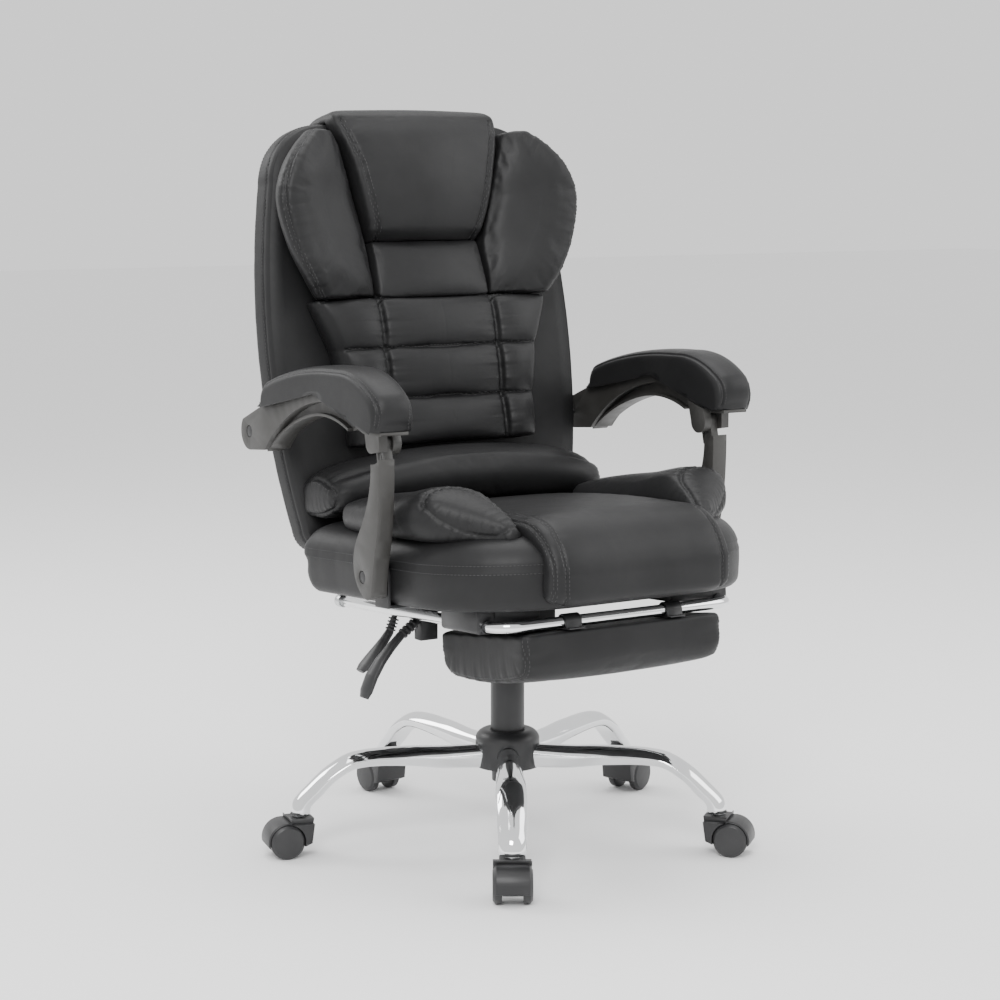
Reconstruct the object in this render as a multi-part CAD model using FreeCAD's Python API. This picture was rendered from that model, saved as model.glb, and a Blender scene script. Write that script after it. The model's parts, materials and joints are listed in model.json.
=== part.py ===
import FreeCAD, Part
import math
import os

# Reclining office chair with a pull-out footrest, in millimetres.
# Origin on the floor under the gas lift, +Z up, the sitter faces -Y and has +X at the left hand.

# Clearances
RUN = 0.3
HINGE_FIT = 0.3

# Five star base and casters
LEG_COUNT = 5
FIRST_LEG_ANGLE = -31.8
STEM_CIRCLE = 320.0
WHEEL_RADIUS = 25.0
WHEEL_WIDTH = 12.8
WHEEL_INNER = 14.6
CASTER_TRAIL = 22.6
AXLE_RADIUS = 3.0
HOOD_RADIUS = 28.2
HOOD_HALF_WIDTH = 26.5
HOOD_CHAMFER = 4.0
NECK_RADIUS = 18.0
NECK_TOP = 57.0
WHEEL_POCKET_GAP = 1.2
STEM_RADIUS = 5.5
STEM_DEPTH = 19.0
STEM_RISE = 15.0
STEM_FLANGE = 3.7
LEG_WALL = 2.2
LEG_PLUG_LENGTH = 30.0

# Hub of the base
HUB_RADIUS = 30.0
HUB_BOTTOM = 106.0
HUB_TOP = 146.0
COVER_RADIUS = 47.5
COVER_TOP = 163.0
COVER_BOTTOM = 108.0
COVER_WALL = 2.5

# Gas lift
TUBE_RADIUS = 25.0
TUBE_WALL = 2.0
TUBE_FOOT_RADIUS = 23.0
TUBE_FOOT = 85.0
TUBE_CONE_TOP = 165.0
TUBE_TOP = 288.0
TUBE_FLOOR = 4.0
BUSH_LENGTH = 83.0
BUSH_COLLAR = 4.0
LIFT_RADIUS = 14.0
LIFT_WALL = 1.4
LIFT_FOOT = 112.0
LIFT_TOP = 336.0
LIFT_CONE = 36.0
LIFT_CONE_TIP_RADIUS = 13.0
LIFT_TRAVEL = 90.0
ROD_RADIUS = 5.0
PISTON_RADIUS = 12.2
PISTON_HEIGHT = 12.0
BEARING_RADIUS = 15.0
BEARING_HEIGHT = 5.0
RELEASE_PIN_RADIUS = 4.0
RELEASE_PIN_RISE = 5.5
RELEASE_PIN_TRAVEL = 4.5

# Seat
SEAT_TILT = 3.43
SEAT_HEIGHT = 383.0
PAN_THICKNESS = 12.0
PAN_INSET = 8.0
SEAT_HALF_WIDTH = 262.0
SEAT_FRONT = -326.0
SEAT_REAR = 168.0
SEAT_FRONT_CORNER = 165.0
SEAT_REAR_CORNER = 32.0
SEAT_REAR_SLANT = 28.0
SEAM_HEIGHT = 58.0
BOX_HEIGHT = 103.0
PANEL_HALF_WIDTH = 149.0
PANEL_TOP = 124.0
PANEL_FRONT_THICKNESS = 25.0
PANEL_DROP = 8.0
PANEL_REAR = 150.0
BOLSTER_INNER = 151.0

# Mechanism under the seat
PLATE_THICKNESS = 4.0
PLATE_HALF_WIDTH = 101.3
PLATE_FRONT = -110.0
PLATE_REAR = 108.0
MECH_BOX_HALF_WIDTH = 45.0
MECH_BOX_FRONT = -60.0
MECH_BOX_REAR = 70.0
MECH_BOX_BOTTOM = 300.0
MECH_WALL = 3.0
SOCKET_RADIUS = 20.0
BOLT_RADIUS = 4.0
BOLT_HEAD_RADIUS = 8.0
BOLT_HEAD = 5.0

# Levers
LEVER_AXIS_X = -55.0
LEVER_AXIS_Z = 346.0
LEVER_ROD_RADIUS = 4.0
LEVER_EAR_GAP = 9.0
LEVER_EAR_THICKNESS = 3.0
LEVER_PIN_RADIUS = 3.0
HEIGHT_LEVER_SLOPE = 0.13
RECLINE_LEVER_Y = 40.0
LEVER_ROD_END = -168.0
GRIP_RADIUS = 6.2
GRIP_RIBS = 4
LEVER_GUIDE_X = -166.0
LEVER_GUIDE_WIDTH = 27.0
LEVER_GUIDE_FRONT = -30.0
LEVER_GUIDE_DEPTH = 20.0
LEVER_GUIDE_BOTTOM = 317.0
LEVER_ANGLE = 4.69

# Armrest linkage: the post, the arm, the back and the seat form a parallelogram in side view
POST_FOOT_Y = -90.0
POST_FOOT_Z = 430.0
POST_TOP_Y = -118.0
POST_TOP_Z = 617.0
ARM_REAR_Y = 220.0
ARM_REAR_Z = 605.0
HINGE_Y = ARM_REAR_Y - (POST_TOP_Y - POST_FOOT_Y)
HINGE_Z = ARM_REAR_Z - (POST_TOP_Z - POST_FOOT_Z)

# Armrests
POST_INNER = 272.5
POST_THICKNESS = 25.0
EYE_THICKNESS = 12.4
EYE_RADIUS = 13.0
SHOULDER_RADIUS = 28.0
ARM_PIN_RADIUS = 4.0
LOBE_RADIUS = 17.0
LOBE_INNER = 259.0
ARM_INNER = 268.0
ARM_OUTER = 310.0
KEEL_THICKNESS = 12.0
RIB_WIDTH = 28.0
RIB_THICKNESS = 4.0
PAD_CENTRE = 290.0
PAD_HALF_WIDTH = 32.0
STRAP_THICKNESS = 4.0
STRAP_WIDTH = 36.0
STRAP_HEAD_RADIUS = 18.0

# Recline hinge and lock strut
HINGE_EYE_RADIUS = 12.0
HINGE_PIN_RADIUS = 5.0
EAR_THICKNESS = 5.0
STRUT_CRANK = 68.0
STRUT_SWING = 20.0
STRUT_RADIUS = 11.0
STRUT_ROD_RADIUS = 4.0
STRUT_LENGTH = 130.0
STRUT_EYE_RADIUS = 12.0
STRUT_EYE_WIDTH = 15.0
LUG_GAP = 8.0
LUG_THICKNESS = 4.0

# Back
BACK_LEAN = 10.0
BACK_FOOT_Y = 174.0
BACK_FOOT_Z = 425.0
BACK_HEIGHT = 640.0
SHELL_THICKNESS = 62.0
BOARD_DEPTH = 10.5
BOARD_THICKNESS = 13.0
BRACKET_THICKNESS = 4.0
BRACKET_TOP = 170.0
BRACKET_FOOT = 20.0
ROLL_HALF_LENGTH = 238.0
ROLL_HEIGHT = 96.5
ROLL_SAG = 22.0
ROLL_DEPTH = 114.0
TUFT_HALF_WIDTH = 100.0
HEADREST_TOP = 659.0

# Footrest
TUBE_R = 8.0
RAIL_X = 196.0
RAIL_DROP = 22.0
RAIL_REAR = 155.0
CROSSBAR_Y = -285.0
RAIL_BEND = 32.0
TUBE_THICKNESS = 1.5
GUIDE_REAR = -158.0
GUIDE_FRONT = -250.0
GUIDE_INNER = 178.0
GUIDE_OUTER = 212.0
GUIDE_DEPTH = 32.0
GUIDE_FLANGE_INNER = 111.0
GUIDE_FLANGE_DEPTH = 18.0
STOP_LENGTH = 10.0
STOP_RADIUS = 9.6
FOOTREST_HALF_WIDTH = 166.0
FOOTREST_LENGTH = 228.0
FOOTREST_THICKNESS = 66.0
FOOTREST_DROOP = 7.6
CLIP_X = 85.0
CLIP_WIDTH = 26.0
CLIP_WALL = 3.0


# Helpers

def vec(x, y, z):
    return FreeCAD.Vector(x, y, z)


def save(shape, node):
    shape.exportStep("parts/" + node + ".step")


def group(solids):
    return Part.makeCompound(solids)


def fused(shapes):
    result = shapes[0]
    for shape in shapes[1:]:
        result = result.fuse(shape)
    return result.removeSplitter()


def cylinder(start, end, radius):
    axis = end - start
    return Part.makeCylinder(radius, axis.Length, start, axis)


def hexagon(start, end, across_flats):
    """A hexagonal prism between two points."""
    axis = end - start
    turn = FreeCAD.Rotation(vec(0, 0, 1), axis)
    reach = across_flats / math.sqrt(3)
    corners = [
        vec(reach * math.cos(math.radians(60 * i)), reach * math.sin(math.radians(60 * i)), 0)
        for i in range(6)
    ]
    edges = [line(a, b) for a, b in zip(corners, corners[1:] + corners[:1])]
    prism = extruded(edges, vec(0, 0, axis.Length))
    prism.Placement = FreeCAD.Placement(start, turn)
    return prism


def ring(start, end, outer, inner):
    axis = end - start
    over = axis.normalize() * 1.0
    return cylinder(start, end, outer).cut(cylinder(start - over, end + over, inner))


def block(x0, x1, y0, y1, z0, z1):
    return Part.makeBox(x1 - x0, y1 - y0, z1 - z0, vec(x0, y0, z0))


def turned(shape, angle, base=None, axis=None):
    copy = shape.copy()
    copy.rotate(base or vec(0, 0, 0), axis or vec(0, 0, 1), angle)
    return copy


def moved(shape, x, y, z):
    copy = shape.copy()
    copy.translate(vec(x, y, z))
    return copy


def mirrored(shape):
    return shape.mirror(vec(0, 0, 0), vec(1, 0, 0))


def line(a, b):
    return Part.LineSegment(a, b).toShape()


def arc(a, middle, b):
    return Part.Arc(a, middle, b).toShape()


def spline(points):
    curve = Part.BSplineCurve()
    curve.interpolate(points)
    return curve.toShape()


def extruded(edges, direction):
    return Part.Face(Part.Wire(edges)).extrude(direction)


def side_plate(outline, x0, x1):
    """A plate from x0 to x1 whose outline is a closed chain of (y, z) corners."""
    corners = [vec(x0, y, z) for y, z in outline]
    edges = [line(a, b) for a, b in zip(corners, corners[1:] + corners[:1])]
    return extruded(edges, vec(x1 - x0, 0, 0))


def loft(wires):
    return Part.makeLoft(wires, True, True)


def smooth_stations(stations, count, run):
    """The same run of stations at equal steps, measured along their first values."""
    knots = [0.0]
    for a, b in zip(stations, stations[1:]):
        knots.append(knots[-1] + math.dist(a[:run], b[:run]))
    last = len(stations) - 1
    slopes = []
    for index in range(last + 1):
        low = max(index - 1, 0)
        high = min(index + 1, last)
        gap = knots[high] - knots[low]
        slopes.append([(b - a) / gap for a, b in zip(stations[low], stations[high])])
    result = []
    segment = 0
    for step in range(count + 1):
        place = knots[-1] * step / count
        while segment < last - 1 and place > knots[segment + 1]:
            segment += 1
        gap = knots[segment + 1] - knots[segment]
        t = (place - knots[segment]) / gap
        rise = t * t * (3 - 2 * t)
        leave = t * (1 - t) * (1 - t) * gap
        arrive = t * t * (t - 1) * gap
        result.append(tuple(
            a + (b - a) * rise + slopes[segment][index] * leave + slopes[segment + 1][index] * arrive
            for index, (a, b) in enumerate(zip(stations[segment], stations[segment + 1]))
        ))
    return result


# Places across a soft shape, as shares of its half width, and the share of its end inset there
CROWN_SHARES = ((1.0, 1.0), (0.965, 0.5), (0.88, 0.22), (0.7, 0.07), (0.35, 0.01))
NARROW_CROWN_SHARES = ((1.0, 1.0), (0.88, 0.48), (0.62, 0.14), (0.25, 0.0))


def crowned(section, half, edge_inset, shares=CROWN_SHARES):
    """Loft of a section across a soft shape that swells from its ends to its middle."""
    wires = [section(-half * place, edge_inset * share) for place, share in shares]
    wires += [section(half * place, edge_inset * share) for place, share in reversed(shares)]
    return loft(wires)


def rounded_rectangle(centre, across, upright, half_a, half_b, radius):
    """A rectangle with round corners in the plane of two unit vectors."""
    def point(a, b):
        return centre + across * a + upright * b

    edges = []
    corners = [(1, 1), (-1, 1), (-1, -1), (1, -1)]
    diagonal = radius * (1 - math.sqrt(0.5))
    for index, (sa, sb) in enumerate(corners):
        after = corners[(index + 1) % 4]
        side_start = point(sa * half_a, sb * (half_b - radius))
        top_start = point(sa * (half_a - radius), sb * half_b)
        middle = point(sa * (half_a - diagonal), sb * (half_b - diagonal))
        if index % 2 == 0:
            edges.append(arc(side_start, middle, top_start))
            edges.append(line(top_start, point(after[0] * (half_a - radius), after[1] * half_b)))
        else:
            edges.append(arc(top_start, middle, side_start))
            edges.append(line(side_start, point(after[0] * half_a, after[1] * (half_b - radius))))
    return Part.Wire(edges)


# Base: star of five chromed legs on a hub, with a gas lift column

# Each station: distance in from the stem, rise above the stem seat, fall angle, depth and width of the section
LEG_STATIONS = (
    (294.0, 64.5, 0.0, 35.0, 30.0),
    (220.0, 67.5, -3.0, 32.0, 33.0),
    (165.0, 73.5, -2.0, 27.0, 38.0),
    (85.0, 74.0, 7.0, 21.5, 43.0),
    (48.0, 57.0, 34.0, 20.0, 44.0),
    (22.0, 34.0, 52.0, 22.0, 42.0),
    (3.0, 15.0, 74.0, 24.0, 40.0),
    (0.0, 0.0, 90.0, 26.0, 40.0),
)
LEG_END = NECK_TOP + RUN + STEM_FLANGE
LEG_STEPS = smooth_stations(LEG_STATIONS, 9, 2)


def leg_sections(grow, stations):
    """Sections of a leg with a flat underside, low flanks and a crowned top."""
    wires = []
    for inward, rise, fall, depth, width in stations:
        upright = vec(math.sin(math.radians(fall)), 0, math.cos(math.radians(fall)))
        centre = vec(STEM_CIRCLE - inward, 0, LEG_END + rise)
        half = width / 2 + grow
        low = centre - upright * (depth / 2 + grow)
        flank = centre - upright * (depth * 0.02 - grow * 0.5)
        side = vec(0, 1, 0)
        top = centre + upright * (depth / 2 + grow)
        foot = half - 4.0
        wires.append(Part.Wire([
            line(low - side * foot, low + side * foot),
            line(low + side * foot, flank + side * half),
            arc(flank + side * half, top, flank - side * half),
            line(flank - side * half, low - side * foot),
        ]))
    return wires


def leg_body(grow=0.0):
    return loft(leg_sections(grow, LEG_STEPS))


def around_base(shape, index):
    angle = FIRST_LEG_ANGLE + index * 360.0 / LEG_COUNT
    return turned(shape, angle - 90.0)


def tube_outside():
    cone = Part.makeCone(
        TUBE_FOOT_RADIUS, TUBE_RADIUS, TUBE_CONE_TOP - TUBE_FOOT, vec(0, 0, TUBE_FOOT)
    )
    return cone.fuse(cylinder(vec(0, 0, TUBE_CONE_TOP), vec(0, 0, TUBE_TOP), TUBE_RADIUS))


def base_legs():
    leg = leg_body()
    hollow_steps = [station for station in LEG_STEPS if station[0] + station[1] > LEG_PLUG_LENGTH * 2]
    hollow = loft(leg_sections(-LEG_WALL, hollow_steps))
    leg = leg.cut(hollow)
    leg = leg.cut(cylinder(vec(0, 0, HUB_BOTTOM - 40), vec(0, 0, HUB_TOP + 40), HUB_RADIUS))
    stem_hole = cylinder(
        vec(STEM_CIRCLE, 0, LEG_END - 1), vec(STEM_CIRCLE, 0, LEG_END + STEM_RISE), STEM_RADIUS
    )
    leg = leg.cut(stem_hole)
    save(group([around_base(leg, index) for index in range(LEG_COUNT)]), "base_legs")


def base_hub():
    hub = cylinder(vec(0, 0, HUB_BOTTOM), vec(0, 0, HUB_TOP), HUB_RADIUS)
    save(hub.cut(tube_outside()), "base_hub")


def hub_cover():
    bore = TUBE_RADIUS + RUN
    top_flat = bore + 4.0
    shoulder = COVER_TOP - 13.0
    inner = COVER_RADIUS - COVER_WALL
    profile = [
        line(vec(bore, 0, HUB_TOP), vec(bore, 0, COVER_TOP)),
        line(vec(bore, 0, COVER_TOP), vec(top_flat, 0, COVER_TOP)),
        arc(
            vec(top_flat, 0, COVER_TOP),
            vec(COVER_RADIUS - 5.0, 0, shoulder + 9.0),
            vec(COVER_RADIUS, 0, shoulder),
        ),
        line(vec(COVER_RADIUS, 0, shoulder), vec(COVER_RADIUS, 0, COVER_BOTTOM)),
        line(vec(COVER_RADIUS, 0, COVER_BOTTOM), vec(inner, 0, COVER_BOTTOM)),
        line(vec(inner, 0, COVER_BOTTOM), vec(inner, 0, HUB_TOP)),
        line(vec(inner, 0, HUB_TOP), vec(bore, 0, HUB_TOP)),
    ]
    face = Part.Face(Part.Wire(profile))
    cover = face.revolve(vec(0, 0, 0), vec(0, 0, 1), 360)
    opening = loft(leg_sections(RUN, LEG_STEPS[:4]))
    for index in range(LEG_COUNT):
        cover = cover.cut(around_base(opening, index))
    save(cover, "hub_cover")


def caster_stems():
    stem = cylinder(vec(0, 0, NECK_TOP - STEM_DEPTH), vec(0, 0, LEG_END + STEM_RISE), STEM_RADIUS)
    flange = hexagon(vec(0, 0, NECK_TOP + RUN), vec(0, 0, LEG_END), 2 * STEM_RADIUS + 8.0)
    one = moved(fused([stem, flange]), STEM_CIRCLE, 0, 0)
    save(group([around_base(one, index) for index in range(LEG_COUNT)]), "caster_stems")


def lift_outer_tube():
    bore = cylinder(
        vec(0, 0, TUBE_CONE_TOP), vec(0, 0, TUBE_TOP + 1), TUBE_RADIUS - TUBE_WALL
    )
    low_bore = Part.makeCone(
        TUBE_FOOT_RADIUS - TUBE_WALL,
        TUBE_RADIUS - TUBE_WALL,
        TUBE_CONE_TOP - TUBE_FOOT - TUBE_FLOOR,
        vec(0, 0, TUBE_FOOT + TUBE_FLOOR),
    )
    rod_hole = cylinder(
        vec(0, 0, TUBE_FOOT - 1), vec(0, 0, TUBE_FOOT + TUBE_FLOOR + 1), ROD_RADIUS + RUN
    )
    save(tube_outside().cut(bore).cut(low_bore).cut(rod_hole), "lift_outer_tube")


def lift_guide_bush():
    sleeve = ring(
        vec(0, 0, TUBE_TOP - BUSH_LENGTH), vec(0, 0, TUBE_TOP),
        TUBE_RADIUS - TUBE_WALL, LIFT_RADIUS + RUN,
    )
    collar = ring(
        vec(0, 0, TUBE_TOP), vec(0, 0, TUBE_TOP + BUSH_COLLAR), TUBE_RADIUS, LIFT_RADIUS + RUN
    )
    save(fused([sleeve, collar]), "lift_guide_bush")


# Casters: a hood with a cast-in axle and two wheels, each in its own place at the end of a leg

def caster_place(shape, index):
    return around_base(moved(shape, STEM_CIRCLE, 0, 0), index)


def hood_bevel():
    """Wedge ring that takes the sharp edge off one side of the hood, behind the neck."""
    wide = HOOD_HALF_WIDTH + 1.0
    high = HOOD_RADIUS + 1.0
    corners = [
        vec(0, wide - HOOD_CHAMFER - 2.0, high),
        vec(0, wide, high),
        vec(0, wide, high - HOOD_CHAMFER - 2.0),
    ]
    edges = [line(a, b) for a, b in zip(corners, corners[1:] + corners[:1])]
    wedge = Part.Face(Part.Wire(edges)).revolve(vec(0, 0, 0), vec(0, 1, 0), 360)
    wedge = moved(wedge, CASTER_TRAIL, 0, WHEEL_RADIUS)
    return wedge.common(block(NECK_RADIUS, 100, 0, 100, WHEEL_RADIUS - 8.0, 100))


def caster_fork():
    axle = vec(CASTER_TRAIL, 0, WHEEL_RADIUS)

    def on_hood(degrees):
        turn = math.radians(degrees)
        return axle + vec(HOOD_RADIUS * math.cos(turn), 0, HOOD_RADIUS * math.sin(turn))

    rear_low = on_hood(-12.0)
    hood_end = on_hood(100.0)
    neck_rear = vec(NECK_RADIUS, 0, NECK_TOP)
    neck_front = vec(-NECK_RADIUS, 0, NECK_TOP)
    front_low = vec(5.0 - NECK_RADIUS, 0, WHEEL_RADIUS - 3.0)
    web_front = vec(8.0, 0, WHEEL_RADIUS - 11.5)
    web_rear = vec(CASTER_TRAIL + 14.4, 0, WHEEL_RADIUS - 11.5)
    outline = [
        arc(rear_low, on_hood(45.0), hood_end),
        line(hood_end, vec(NECK_RADIUS, 0, hood_end.z + 0.6)),
        line(vec(NECK_RADIUS, 0, hood_end.z + 0.6), neck_rear),
        line(neck_rear, neck_front),
        line(neck_front, front_low),
        line(front_low, web_front),
        line(web_front, web_rear),
        line(web_rear, rear_low),
    ]
    solid = extruded(outline, vec(0, 2 * HOOD_HALF_WIDTH, 0))
    solid.translate(vec(0, -HOOD_HALF_WIDTH, 0))
    neck_low = NECK_TOP - 7.0
    shoulder = block(-60, NECK_RADIUS - 1.0, -40, 40, neck_low, NECK_TOP + 1)
    shoulder = shoulder.cut(block(-60, 60, -NECK_RADIUS, NECK_RADIUS, 0, NECK_TOP + 2))
    solid = solid.cut(shoulder)
    bevel = hood_bevel()
    solid = solid.cut(bevel).cut(bevel.mirror(vec(0, 0, 0), vec(0, 1, 0)))
    pocket_radius = WHEEL_RADIUS + WHEEL_POCKET_GAP
    for side in (-1, 1):
        pocket = cylinder(
            axle + vec(0, side * (WHEEL_INNER - 0.6), 0), axle + vec(0, side * 40.0, 0), pocket_radius
        )
        solid = solid.cut(pocket)
    reach = WHEEL_INNER + WHEEL_WIDTH - 1.5
    pin = cylinder(axle - vec(0, reach, 0), axle + vec(0, reach, 0), AXLE_RADIUS)
    bore = cylinder(
        vec(0, 0, NECK_TOP - STEM_DEPTH - RUN), vec(0, 0, NECK_TOP + 1), STEM_RADIUS + RUN
    )
    return fused([solid, pin]).cut(bore)


def caster_wheel(side):
    inner = WHEEL_INNER
    outer = WHEEL_INNER + WHEEL_WIDTH
    bore = AXLE_RADIUS + RUN
    blind = outer - 1.2
    corners = [
        vec(0, inner, bore),
        vec(0, inner, WHEEL_RADIUS),
        vec(0, outer - 3.4, WHEEL_RADIUS),
        vec(0, outer, WHEEL_RADIUS - 4.0),
        vec(0, outer, 0.0),
        vec(0, blind, 0.0),
        vec(0, blind, bore),
    ]
    edges = [line(a, b) for a, b in zip(corners, corners[1:] + corners[:1])]
    wheel = Part.Face(Part.Wire(edges)).revolve(vec(0, 0, 0), vec(0, 1, 0), 360)
    if side < 0:
        wheel = wheel.mirror(vec(0, 0, 0), vec(0, 1, 0))
    return moved(wheel, CASTER_TRAIL, 0, WHEEL_RADIUS)


def casters():
    fork = caster_fork()
    left_wheel = caster_wheel(1)
    right_wheel = caster_wheel(-1)
    for index in range(LEG_COUNT):
        name = "caster_" + str(index + 1)
        save(caster_place(fork, index), name + "_fork")
        save(caster_place(left_wheel, index), name + "_wheel_left")
        save(caster_place(right_wheel, index), name + "_wheel_right")


# Gas lift: piston rod on a thrust bearing, cylinder that rises with the seat, release pin

BEARING_FOOT = TUBE_FOOT + TUBE_FLOOR
PISTON_FOOT = LIFT_TOP - LIFT_CONE - PISTON_HEIGHT - 18.0
CAVITY_TOP = LIFT_TOP - LIFT_CONE - 6.0
LIFT_PLUG = 6.0


def lift_piston_rod():
    bearing_top = BEARING_FOOT + BEARING_HEIGHT
    rod = cylinder(vec(0, 0, TUBE_FOOT - 7.0), vec(0, 0, PISTON_FOOT), ROD_RADIUS)
    shoulder = cylinder(vec(0, 0, bearing_top), vec(0, 0, bearing_top + 4.0), ROD_RADIUS + 4.0)
    clip = cylinder(vec(0, 0, TUBE_FOOT - 4.0), vec(0, 0, TUBE_FOOT - RUN), ROD_RADIUS + 3.0)
    piston = cylinder(
        vec(0, 0, PISTON_FOOT), vec(0, 0, PISTON_FOOT + PISTON_HEIGHT), PISTON_RADIUS
    )
    save(fused([rod, shoulder, clip, piston]), "lift_piston_rod")


def lift_thrust_bearing():
    bearing = ring(
        vec(0, 0, BEARING_FOOT), vec(0, 0, BEARING_FOOT + BEARING_HEIGHT), BEARING_RADIUS, ROD_RADIUS
    )
    save(bearing, "lift_thrust_bearing")


def lift_outside():
    barrel = cylinder(vec(0, 0, LIFT_FOOT), vec(0, 0, LIFT_TOP - LIFT_CONE), LIFT_RADIUS)
    cone = Part.makeCone(
        LIFT_RADIUS, LIFT_CONE_TIP_RADIUS, LIFT_CONE, vec(0, 0, LIFT_TOP - LIFT_CONE)
    )
    return barrel.fuse(cone)


def lift_cylinder():
    cavity = cylinder(
        vec(0, 0, LIFT_FOOT + LIFT_PLUG), vec(0, 0, CAVITY_TOP), LIFT_RADIUS - LIFT_WALL
    )
    rod_hole = cylinder(
        vec(0, 0, LIFT_FOOT - 1), vec(0, 0, LIFT_FOOT + LIFT_PLUG + 1), ROD_RADIUS + RUN
    )
    pin_hole = cylinder(
        vec(0, 0, LIFT_TOP - LIFT_CONE), vec(0, 0, LIFT_TOP + 1), RELEASE_PIN_RADIUS + RUN
    )
    save(lift_outside().cut(cavity).cut(rod_hole).cut(pin_hole), "lift_cylinder")


def lift_release_pin():
    foot = LIFT_TOP - LIFT_CONE + RELEASE_PIN_TRAVEL + RUN
    pin = cylinder(vec(0, 0, foot), vec(0, 0, LIFT_TOP + RELEASE_PIN_RISE), RELEASE_PIN_RADIUS)
    save(pin, "lift_release_pin")


# Seat: everything that leans with the seat is drawn level and then tilted

def tilted(shape):
    """Lift the front of a shape that was drawn on a level seat plane."""
    return turned(shape, -SEAT_TILT, vec(0, 0, SEAT_HEIGHT), vec(1, 0, 0))


def seat_point(y, rise):
    """Place in the YZ plane of a point at y, rise above the seat plane, once the seat is tilted."""
    turn = math.radians(-SEAT_TILT)
    return (
        y * math.cos(turn) - rise * math.sin(turn),
        SEAT_HEIGHT + y * math.sin(turn) + rise * math.cos(turn),
    )


def seat_outline(rise, inset, rear):
    """Plan outline of the seat at a height, with large front corners and small rear ones."""
    half = SEAT_HALF_WIDTH - inset
    front = SEAT_FRONT + inset
    back = rear - inset
    big = SEAT_FRONT_CORNER - inset
    small = SEAT_REAR_CORNER - inset * 0.25
    big_cut = big * (1 - math.sqrt(0.5))
    small_cut = small * (1 - math.sqrt(0.5))
    z = SEAT_HEIGHT + rise
    edges = [
        line(vec(-half, back - small, z), vec(-half, front + big, z)),
        arc(vec(-half, front + big, z), vec(big_cut - half, front + big_cut, z), vec(big - half, front, z)),
        line(vec(big - half, front, z), vec(half - big, front, z)),
        arc(vec(half - big, front, z), vec(half - big_cut, front + big_cut, z), vec(half, front + big, z)),
        line(vec(half, front + big, z), vec(half, back - small, z)),
        arc(vec(half, back - small, z), vec(half - small_cut, back - small_cut, z), vec(half - small, back, z)),
        line(vec(half - small, back, z), vec(small - half, back, z)),
        arc(vec(small - half, back, z), vec(small_cut - half, back - small_cut, z), vec(-half, back - small, z)),
    ]
    return Part.Wire(edges)


def seat_pan():
    outline = seat_outline(0.0, PAN_INSET + 8.0, SEAT_REAR - SEAT_REAR_SLANT + 8.0)
    pan = Part.Face(outline).extrude(vec(0, 0, PAN_THICKNESS))
    for x, y in PLATE_BOLTS:
        hole = cylinder(vec(x, y, SEAT_HEIGHT - 1), vec(x, y, SEAT_HEIGHT + PAN_THICKNESS - 2.0), BOLT_RADIUS)
        pan = pan.cut(hole)
    solids = [tilted(pan)]
    for side in (-1, 1):
        solids.append(arm_strap(side))
    save(group(solids), "seat_pan")


def arm_strap(side):
    """Steel strap under the pan that turns up outside the cushion and carries an arm post."""
    outer = POST_INNER - 6.2
    inner = outer - STRAP_THICKNESS
    rear = POST_FOOT_Y + STRAP_WIDTH / 2
    front = POST_FOOT_Y - STRAP_WIDTH / 2
    level = SEAT_HEIGHT
    foot = tilted(block(PLATE_HALF_WIDTH + 8, outer, front, rear, level - STRAP_THICKNESS, level))
    low_y, low_z = seat_point(POST_FOOT_Y, -STRAP_THICKNESS)
    upright = block(inner, outer, front, rear, low_z + 2.0, POST_FOOT_Z)
    head = cylinder(vec(inner, POST_FOOT_Y, POST_FOOT_Z), vec(outer, POST_FOOT_Y, POST_FOOT_Z), STRAP_HEAD_RADIUS)
    hole = cylinder(
        vec(inner - 1, POST_FOOT_Y, POST_FOOT_Z), vec(outer + 1, POST_FOOT_Y, POST_FOOT_Z), BOLT_RADIUS
    )
    strap = fused([foot, upright, head]).cut(hole)
    return strap if side > 0 else mirrored(strap)


# Seat cushion: height above the seat plane, inset of the outline, rear end of the outline
CUSHION_STATIONS = (
    (PAN_THICKNESS, 11.0, 11.0 - SEAT_REAR_SLANT),
    (PAN_THICKNESS + 16.0, 2.5, 22.0 - SEAT_REAR_SLANT),
    (SEAM_HEIGHT - 14.0, 0.0, -13.0),
    (SEAM_HEIGHT, 0.5, 0.0),
    (SEAM_HEIGHT + 16.0, 6.0, 0.0),
    (SEAM_HEIGHT + 31.0, 19.0, 0.0),
    (SEAM_HEIGHT + 41.0, 42.0, 0.0),
    (BOX_HEIGHT, 80.0, 0.0),
)


def seat_cushion_body(grow=0.0):
    wires = []
    for rise, inset, rear in CUSHION_STATIONS:
        lift = grow if rise > SEAM_HEIGHT else -grow
        wires.append(seat_outline(rise + lift, inset - grow, SEAT_REAR + rear))
    return loft(wires)


def seat_cushion():
    save(tilted(seat_cushion_body()), "seat_cushion")


def panel_section(x, inset):
    """Side view of the middle panel: a top slab that rolls over the front edge and hangs down."""
    z0 = SEAT_HEIGHT
    inner_y = SEAT_FRONT + 8.0
    front = SEAT_FRONT - PANEL_FRONT_THICKNESS + inset
    top = z0 + PANEL_TOP - inset
    floor = z0 + SEAM_HEIGHT
    rear = PANEL_REAR - inset
    low = z0 + PANEL_DROP + inset
    rear_top = vec(x, rear, top - 14.0)
    crest = vec(x, SEAT_FRONT + 68.0, top)
    brow = vec(x, front, z0 + PANEL_DROP + 44.0)
    chin = vec(x, front + 2.0, low + 8.0)
    hem = vec(x, inner_y, low + 2.0)
    corner = vec(x, inner_y, floor)
    heel = vec(x, rear, floor)
    return Part.Wire([
        arc(rear_top, vec(x, -60.0, top + 2.0), crest),
        arc(crest, vec(x, front + 25.0, top - 22.0), brow),
        line(brow, chin),
        arc(chin, vec(x, front + 9.0, low), hem),
        line(hem, corner),
        line(corner, heel),
        line(heel, rear_top),
    ])


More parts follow.
